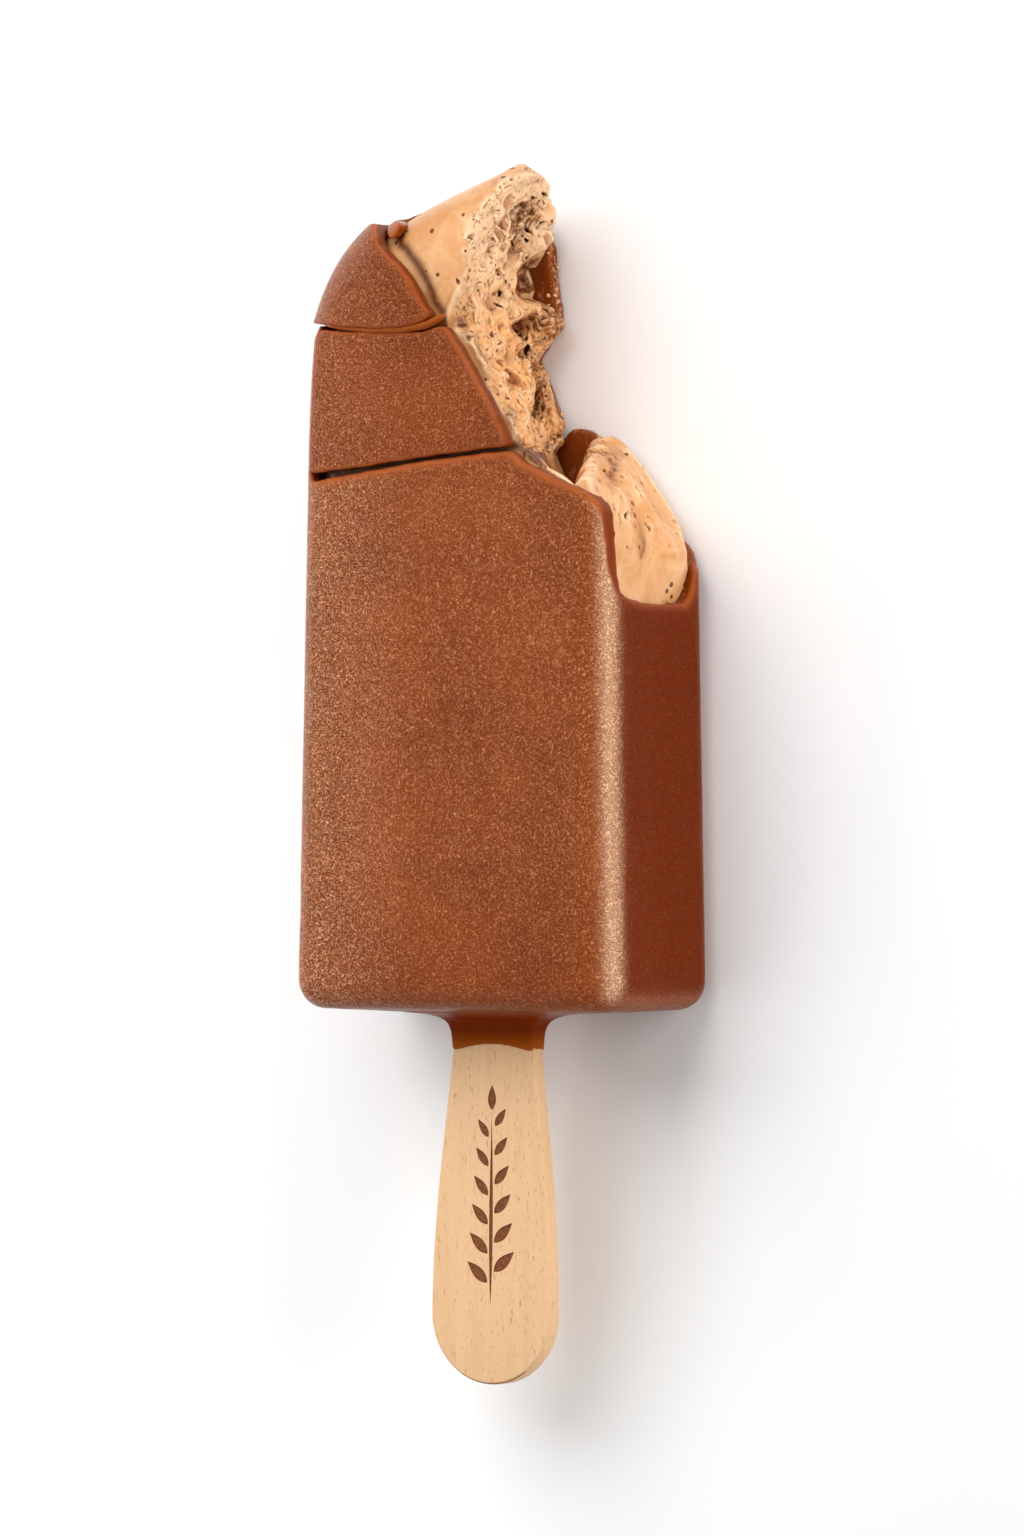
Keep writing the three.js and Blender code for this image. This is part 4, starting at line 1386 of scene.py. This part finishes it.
    def cut_share(self, mesh: bpy.types.Mesh, rounds: int) -> np.ndarray:
        """Tell the bitten surface from the moulded one.

        Args:
            mesh: The ice cream's mesh, in mm.
            rounds: How softly one passes into the other, in rounds.

        Returns:
            For each vertex, 0 on the moulded surface and 1 where it is bitten away.
        """
        mould = BAR.solid(self.inset, self.pushed_out)
        bitten = (distance_to(mould, vertex_array(mesh)) > 0.22).astype(float)
        discard(mould)
        return Neighbours(mesh).average(bitten, rounds)

    def fine_relief(self, at: Vector, cut: float) -> float:
        """Return the fine relief at a place.

        Args:
            at: The place, in mm.
            cut: How much it belongs to the bitten surface, 0 to 1.

        Returns:
            The height, in mm.
        """
        soft = 0.05 * noise.noise(at * 0.5) + 0.025 * noise.noise(at * 1.3)
        if at.z > 20 and at.y > 84:
            aside = at.x - along(self.front_ridge, at.y)
            ridge = 0.3 * bump(aside / 0.45) - 0.55 * bump((aside - 1.4) / 1.1)
            soft += ridge * ramp(at.y, 84, 87) * ramp(at.y, 98, 93)
        if cut <= 0.02:
            return soft
        lump = ramp(at.x, 8, 10) * ramp(at.y, 75, 72)
        smooth = 0.16 * noise.noise(Vector((at.x * 0.2, at.y * 0.12, at.z * 0.4)))
        for z, low, high, height in self.lump_folds:
            drift = at.z - MID_Z - z - 1.1 * noise.noise(Vector((at.y * 0.13, z, 0)))
            smooth += height * bump(drift / 1.2) * ramp(at.y, low, low + 4) * ramp(at.y, high, high - 4)
        smooth -= 0.45 * ramp(noise.noise(Vector((at.x * 1.2, at.y * 0.75, at.z * 1.5))), 0.42, 0.54)
        rough = self.roughened(at)
        warped = at + 1.4 * noise.noise_vector(at * 0.3)
        swirls = 0.05 * noise.noise(warped * 0.8)
        crumbs = 0.45 * rough * (2 * abs(noise.noise(warped * 1.2)) - 0.4)
        cluster = ramp(noise.noise(at * 0.25 + Vector((3, 0, 0))), -0.15, 0.15)
        pits = -1.1 * cluster * ramp(noise.noise(warped * 1.3 + Vector((7, 3, 1))), 0.3, 0.42)
        return soft + cut * lerp(swirls + crumbs + pits, smooth, lump)

    def round_tear(self, mesh: bpy.types.Mesh) -> None:
        """Round the edge between the smooth front and the torn face, most at the top."""
        places = vertex_array(mesh)
        x, y, z = places.T
        near = Neighbours(mesh)
        smooth = np.stack([near.average(places[:, axis], 70) for axis in range(3)], axis=1)
        aside = np.abs(x - np.interp(y, *np.array(self.front_ridge).T) - 1)
        share = np.clip((z - 18) / 3, 0, 1) * np.clip((y - 87) / 5, 0, 1) * np.clip(2 - aside / 2, 0, 1)
        set_vertices(mesh, places + (smooth - places) * share[:, None])

    def roughened(self, at: Vector) -> float:
        """Return how crumbly the torn face is at a place, 0 to 1."""
        if at.x > 9:
            return 0.0
        return max(bump(math.hypot(at.y - y, at.z - MID_Z - z) / reach) for y, z, reach in self.crumbly)

    def stain_and_shade(self, places: np.ndarray) -> np.ndarray:
        """Return how dark each place is: melted chocolate by the cap, a dark band by the middle shard's rim,
        and painted shadow along the valley's rim and behind the coating.
        """
        front = np.clip((places[:, 2] - 19) / 2, 0, 1)
        cap = np.clip(1.15 - distance_to_line(places, self.cap_rim) / 1.0, 0, 1) ** 1.4
        seam = np.clip(1 - distance_to_line(places, self.middle_rim) / 0.6, 0, 1)
        x, y = places[:, 0], places[:, 1]
        covered = (x < 8) & (((y > 60) & (y < 70.2 - 0.1 * x)) | ((y > 83) & (y < 86.4) & (x < -1.5)))
        # painted shadow: a dark band along the valley's rim, and dark ice cream where the coating covers it
        rim = np.clip(1 - distance_to_line(places, self.valley_rim) / 0.9, 0, 1) ** 0.6 * (x < 13)
        shaded = covered * 0.92 * np.clip((places[:, 2] - 11) / 2, 0, 1)
        return np.clip(np.maximum(np.maximum(np.maximum(cap, 0.6 * seam), rim) * front, shaded), 0, 0.92)

    def rub_and_shade(self, at: Vector) -> float:
        """Return how brown the torn face is at a place, 0 to 1: chocolate rubbed in, and painted shade in its
        hollows.
        """
        spot = at + 1.6 * noise.noise_vector(at * 0.45)
        if at.x > 7 and at.y < 74:
            # painted shade on the lump's hollow face and in the valley beside it
            aside = at.x - self.face_lean * at.z - self.face_x
            streak = bump((aside - 1.5 + 0.3 * (spot.y - at.y)) / 1.0) * bump((at.y - 67.6) / 3.2)
            face = 0.3 * bump((aside - 0.4) / 1.8) * bump((spot.y - 67.6) / 3.4)
            runs = ramp(noise.noise(Vector((spot.x * 0.9, spot.y * 0.5, spot.z * 0.35))), -0.16, 0.04)
            valley = runs * ramp(at.y - 0.2 * (12 - at.x), 71.5, 69) * ramp(at.x, 13.8, 12.6)
            return max(streak, face, valley)
        if at.x > 12 or at.y < 63:
            return 0.0
        # painted shade in the hollow beside the front ridge
        if at.z > 20 and 85 < at.y < 97:
            ridge_hollow_shade = 0.4 * bump((at.x - along(self.front_ridge, at.y) - 1.3) / 1.2)
            if ridge_hollow_shade > 0:
                return ridge_hollow_shade
        # brown spots: rubbed-in chocolate and painted shade in the torn face's hollows
        spots = (share * ramp(math.hypot((spot.y - y) / tall, (spot.z - MID_Z - z) / wide), 1.2, 0.55)
                 for y, z, tall, wide, share in self.rub_and_shade_spots)
        return clamp01(max(spots))

    def build(self, material: bpy.types.Material) -> None:
        """Build the ice cream.

        Args:
            material: Its finish.
        """
        core = BAR.solid(self.inset, self.pushed_out)
        bite = self.tool(self.torn_spans, lambda y, z: (self.torn_face(y, z), y, z),
                         Vector((FAR, 0, 0)))
        lower = self.tool(self.top_spans, lambda x, z: (x, self.bitten_top(x, z), z),
                          Vector((0, 2 * FAR, 0)))
        combine(bite, lower, Join.KEEP)
        combine(core, bite, Join.CUT)
        combine(core, Stick().solid(0.1), Join.CUT)
        base = core.copy()
        base.data = core.data.copy()
        bpy.context.scene.collection.objects.link(base)
        square = [(-FAR, self.split_y), (FAR, self.split_y), (FAR, -FAR), (-FAR, -FAR)]
        combine(core, prism(square, [], -FAR, FAR, Axis.Z, rough=0), Join.CUT)
        combine(base, prism([(x, y + 0.4) for x, y in square], [], -FAR, FAR, Axis.Z, rough=0), Join.KEEP)
        remesh(core, self.voxel, 1)
        self.round_tear(core.data)
        refine(core, (self.cut_share(core.data, 3) > 0.5) & (vertex_array(core.data)[:, 0] < 9))
        cut = self.cut_share(core.data, 6)
        places, normals = vertex_array(core.data), vertex_array(core.data, "normal")
        push = np.array([self.fine_relief(Vector(place), share) for place, share in zip(places, cut)])
        push *= np.clip((places[:, 1] - self.split_y - 1) / 2, 0, 1)
        set_vertices(core.data, places + normals * push[:, None])
        combine(core, base, Join.UNITE)
        thin_out(core, self.most, self.hidden)
        mesh = core.data
        places = vertex_array(mesh)
        torn = self.cut_share(mesh, 6)
        # relief and hollow carry the painted shade in the pits and hollows
        store(mesh, "relief", proud(mesh, 8, 0.14))
        store(mesh, "hollow", proud(mesh, 240, 1.1))
        store(mesh, "torn", torn * np.clip((13 - places[:, 0]) / 4, 0.15, 1))
        store(mesh, "stain_and_shade", self.stain_and_shade(places))
        store(mesh, "frosted", np.clip((places[:, 1] - 84) / 11, 0, 1) * (0.05 + 0.42 * torn))
        rub_and_shade = np.array([self.rub_and_shade(Vector(place)) for place in places])
        # painted shade on the top where the smooth front rolls over towards the back
        upwards = np.clip((vertex_array(mesh, "normal")[:, 1] - 0.3) / 0.5, 0, 1)
        rolled_shade = upwards * (1 - torn) * (places[:, 1] > 94)
        store(mesh, "rub_and_shade", np.maximum(rub_and_shade, 0.4 * Neighbours(mesh).average(rolled_shade, 6)))
        core.name = "ice_cream_core"
        finish_piece(core, material, "ice_cream", "ice_cream")

    def hidden(self, places: np.ndarray) -> np.ndarray:
        """Return 1 for each place that the coating hides, and 0 for the others."""
        x, y, z = places.T
        under = (y < 58) & ~((x > 17) & (y > 49))
        left = (z < 19) & (x < -6) & (y < 92)
        return (under | left | (z < 2.6)).astype(float)


# ---- the stick -----------------------------------------------------------------------------------


@dataclass
class Stick:
    """The wooden paddle stick."""

    length: float = 96.0
    offset: float = -0.5
    turn: float = -0.6
    neck: float = 11.4
    paddle: float = 17.5
    thickness: float = 2.5
    bevel: float = 0.4
    mark_depth: float = 0.12
    sprig_foot: float = -37.0
    sprig_length: float = 24.0
    sprig_pairs: int = 6

    def outline(self, grow: float) -> list[Point]:
        """Return the outline of the stick's face, grown by a margin."""
        neck, paddle = self.neck / 2 + grow, self.paddle / 2 + grow
        inner = self.length - STICK_SHOWN - self.neck / 2
        outer = self.paddle / 2 - STICK_SHOWN
        side = []
        for share in np.linspace(0, 1, 48):
            back = 1 - share
            side.append((neck * (back**3 + 3 * back**2 * share) + paddle * (3 * back * share**2 + share**3),
                         3 * back**2 * share * -8 + 3 * back * share**2 * -22 + share**3 * outer))
        tip = [(paddle * math.cos(a), outer - paddle * math.sin(a))
               for a in np.linspace(0, math.pi, 60)[1:-1]]
        end = [(neck * math.cos(a), inner + neck * math.sin(a)) for a in np.linspace(0, math.pi, 24)]
        return side + tip + [(-x, y) for x, y in reversed(side)] + list(reversed(end))

    def solid(self, grow: float, bevel: float = 0.0) -> bpy.types.Object:
        """Build the stick as a closed solid.

        Args:
            grow: A margin all round, in mm.
            bevel: Radius of its edges.

        Returns:
            The solid.
        """
        half = self.thickness / 2 + grow
        bm = bmesh.new()
        plate(bm, self.outline(grow), -half, half)
        if bevel:
            rims = [edge for edge in bm.edges if abs(edge.verts[0].co.z - edge.verts[1].co.z) < 1e-4]
            bmesh.ops.bevel(bm, geom=rims, offset=bevel, affect="EDGES", segments=4, profile=0.5, material=-1)
        lean = Matrix.Rotation(math.radians(self.turn), 3, "Z")
        bmesh.ops.rotate(bm, verts=bm.verts[:], cent=(0, 0, 0), matrix=lean)
        bmesh.ops.translate(bm, verts=bm.verts[:], vec=(self.offset, 0, MID_Z))
        return solid_piece("stick_wood", bm)

    def leaf(self, foot: Point, turn: float, length: float, width: float) -> bpy.types.Object:
        """Build the tool that burns one leaf of the mark.

        Args:
            foot: Where the leaf starts, from the stick's own axis.
            turn: Its angle from straight up the stick, in degrees.
            length: Its length, in mm.
            width: Its width.

        Returns:
            The tool solid, on the stick's face.
        """
        shares = np.linspace(0, 1, 12)
        side = [(0.5 * width * math.sin(math.pi * share**0.8), length * share) for share in shares]
        outline = side + [(-x, y) for x, y in reversed(side[1:-1])]
        bm = bmesh.new()
        plate(bm, outline, self.thickness / 2 - self.mark_depth, self.thickness / 2 + 1)
        tilt = Matrix.Rotation(math.radians(-turn), 4, "Z")
        lean = Matrix.Rotation(math.radians(self.turn), 4, "Z")
        middle = Matrix.Translation((self.offset, 0, MID_Z))
        bm.transform(middle @ lean @ Matrix.Translation((*foot, 0)) @ tilt)
        return solid_piece("tool", bm)

    def build(self, material: bpy.types.Material) -> None:
        """Build the stick, with a sprig of leaves burnt into its face.

        Args:
            material: Its finish.
        """
        wood = self.solid(0, self.bevel)
        combine(wood, self.leaf((0, self.sprig_foot), 0, self.sprig_length, 0.55), Join.CUT)
        for pair in range(self.sprig_pairs):
            share = (pair + 1) / (self.sprig_pairs + 0.6)
            for side in (-1, 1):
                foot = (side * 0.45, self.sprig_foot + self.sprig_length * share + 0.7 * side)
                length = lerp(4.2, 2.6, share)
                combine(wood, self.leaf(foot, side * lerp(52, 34, share), length, 0.38 * length), Join.CUT)
        tip = self.sprig_foot + self.sprig_length + 0.5
        combine(wood, self.leaf((0, tip), 0, 3.2, 1.2), Join.CUT)
        places = vertex_array(wood.data)
        sunk = MID_Z + self.thickness / 2 - places[:, 2]
        flat = np.abs(places[:, 0] - self.offset) < self.neck / 2 - 1
        store(wood.data, "burnt", (sunk > 0.5 * self.mark_depth) & (sunk < 1.5 * self.mark_depth) & flat)
        wood.name = "stick_wood"
        finish_piece(wood, material, "wood", "stick")
        wood.data.set_sharp_from_angle(angle=math.radians(35))


# ---- crumbs --------------------------------------------------------------------------------------


@dataclass
class Crumbs:
    """Crumbs of ice cream that cling to the broken coating."""

    count: int = 150
    smallest: float = 0.05
    largest: float = 0.26
    seed: int = 11

    def places(self, shell: bpy.types.Mesh) -> list[tuple[Vector, Vector]]:
        """Choose where the crumbs cling.

        Args:
            shell: The main coating's finished mesh.

        Returns:
            A place, in metres, and the direction out of the coating, for each crumb.
        """
        stick_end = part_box("stick")[0].y / MM + STICK_SHOWN
        at = vertex_array(shell) / MM - (0, stick_end, 0)
        depth = np.empty(len(at), np.float32)
        shell.attributes["depth"].data.foreach_get("value", depth)
        broken = depth > 0.5
        strip = (at[:, 1] > 73) & (at[:, 0] > -3) & (at[:, 2] < 9)
        gap = (at[:, 0] > 18) & (at[:, 1] > 50) & (at[:, 2] < 12)
        fragment = (at[:, 0] > 5) & (at[:, 1] > 66) & (at[:, 1] < 73) & (at[:, 2] < 9)
        dice = np.random.default_rng(self.seed)
        chosen = []
        for where, share in ((strip, 0.6), (gap, 0.3), (fragment, 0.1)):
            spots = np.nonzero(broken & where)[0]
            chosen.extend(dice.choice(spots, round(self.count * share)).tolist())
        return [(shell.vertices[spot].co.copy(), shell.vertices[spot].normal.copy()) for spot in chosen]

    def build(self, shell: bpy.types.Object, material: bpy.types.Material) -> None:
        """Build the crumbs.

        Args:
            shell: The finished main coating.
            material: The ice cream's finish.
        """
        dice = np.random.default_rng(self.seed + 1)
        bm = bmesh.new()
        for spot, out in self.places(shell.data):
            size = lerp(self.smallest, self.largest, float(dice.random()) ** 3) * MM
            grown = bmesh.ops.create_icosphere(bm, subdivisions=2, radius=size)["verts"]
            stretch = 0.6 + 0.9 * dice.random(3)
            for vert in grown:
                dent = 1 + 0.8 * noise.noise(vert.co / size * 1.3 + spot / MM)
                vert.co = spot + out * size * 0.25 + Vector(vert.co * Vector(stretch) * dent)
        bmesh.ops.recalc_face_normals(bm, faces=bm.faces[:])
        crumbs = new_piece("ice_cream_crumbs", bm)
        for name, value in (("relief", 0.5), ("hollow", 0.5), ("torn", 1.0), ("stain_and_shade", 0.0), ("frosted", 0.3),
                            ("rub_and_shade", 0.3)):
            store(crumbs.data, name, value)
        crumbs.data.shade_smooth()
        crumbs.data.materials.append(material)
        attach(crumbs, BODY)
        LOG.info("%s: %d faces", crumbs.name, len(crumbs.data.polygons))


# ---- studio --------------------------------------------------------------------------------------


@dataclass
class Studio:
    """The pale floor, the soft lights and the camera."""

    turn: float = 32.0  # of the camera from the bar's front towards its bitten side, in degrees
    distance: float = 1100.0
    look_at_y: float = 30.25  # from the stick end, in mm
    aside: float = 1.3125
    tall: float = 192.0  # the height of the frame at the bar, in mm
    sensor: float = 36.0
    floor_half: float = 6.0  # in metres, as the next
    floor_drop: float = 0.0002
    world_strength: float = 0.32
    lights: tuple = (  # name, turn, tilt, size, power and distance of each
        ("right_light", 70, 6, (0.09, 0.5), 2.1, 0.6),
        ("left_light", -84, 8, (0.2, 0.6), 0.8, 0.6),
        ("near_light", -44, -10, (0.05, 0.3), 0.1, 0.17),
        ("high_light", -10, 42, (0.8, 0.7), 5.9, 0.8))
    paper: tuple = ((0.93, 0.93, 0.93, 1), (0.9, 0.9, 0.9, 1))

    def camera(self) -> None:
        """Place the camera, which looks down on the bar."""
        theta = math.radians(self.turn)
        right = Vector((math.cos(theta), 0, -math.sin(theta)))
        away = Vector((math.sin(theta), 0, math.cos(theta)))
        centre = Vector((0, self.look_at_y + (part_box("stick")[0].y / MM + STICK_SHOWN), MID_Z))
        data = bpy.data.cameras.new("camera")
        data.sensor_width = self.sensor
        data.lens = self.sensor * self.distance / self.tall
        data.clip_start, data.clip_end = 0.05, 20
        camera = bpy.data.objects.new("camera", data)
        rotation = Matrix((right, Vector((0, 1, 0)), away)).transposed().to_4x4()
        place = (centre + away * self.distance + right * self.aside) * MM
        camera.matrix_world = Matrix.Translation(place) @ rotation
        bpy.context.scene.collection.objects.link(camera)
        bpy.context.scene.camera = camera

    def light(self, name: str, turn: float, tilt: float, size: Point, power: float, distance: float) -> None:
        """Place a soft light that faces the bar.

        Args:
            name: Its name.
            turn: Its angle from straight above the bar towards the bitten side, in degrees.
            tilt: Its angle towards the bitten end.
            size: Its width across and along the bar, in metres.
            power: Its power, in watts.
            distance: How far it stands from the bar, in metres.
        """
        across, length = math.radians(turn), math.radians(tilt)
        towards = Vector((math.sin(across) * math.cos(length), math.sin(length),
                          math.cos(across) * math.cos(length)))
        data = bpy.data.lights.new(name, "AREA")
        data.shape = "RECTANGLE"
        data.size, data.size_y = size
        data.energy = power
        lamp = bpy.data.objects.new(name, data)
        side = Vector((0, 1, 0)).cross(towards).normalized()
        lamp.matrix_world = Matrix.Translation(towards * distance) @ Matrix(
            (side, towards.cross(side), towards)).transposed().to_4x4()
        bpy.context.scene.collection.objects.link(lamp)

    def build(self) -> None:
        """Build the whole studio."""
        world = bpy.data.worlds.new("studio")
        world.use_nodes = True
        background = world.node_tree.nodes["Background"]
        background.inputs["Color"].default_value = (1, 1, 1, 1)
        background.inputs["Strength"].default_value = self.world_strength
        bpy.context.scene.world = world
        bpy.context.scene.view_settings.view_transform = "Standard"
        for light in self.lights:
            self.light(*light)
        bm = bmesh.new()
        bmesh.ops.create_grid(bm, x_segments=8, y_segments=8, size=self.floor_half)
        bmesh.ops.translate(bm, verts=bm.verts[:], vec=(0, 0, -self.floor_drop))
        floor = new_piece("floor", bm)
        sheet = Sheet("floor")
        paint = sheet.blend(sheet.spread(sheet.grain(0.01, 2), 0.4, 0.6), *self.paper)
        floor.data.materials.append(sheet.finish(Base_Color=paint, Roughness=0.7))


def main() -> None:
    """Build the bar and its studio."""
    logging.basicConfig(level=logging.INFO, format="%(message)s")
    noise.seed_set(NOISE_SEED)
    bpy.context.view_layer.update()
    Studio().build()
    Studio().camera()
    ice_cream = IceCreamFinish().material()
    Coating().build(ChocolateFinish().material())
    IceCream().build(ice_cream)
    Crumbs().build(bpy.data.objects["coating_main_shell"], ice_cream)
    Stick().build(WoodFinish().material())
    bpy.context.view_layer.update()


if __name__ == "__main__":
    main()
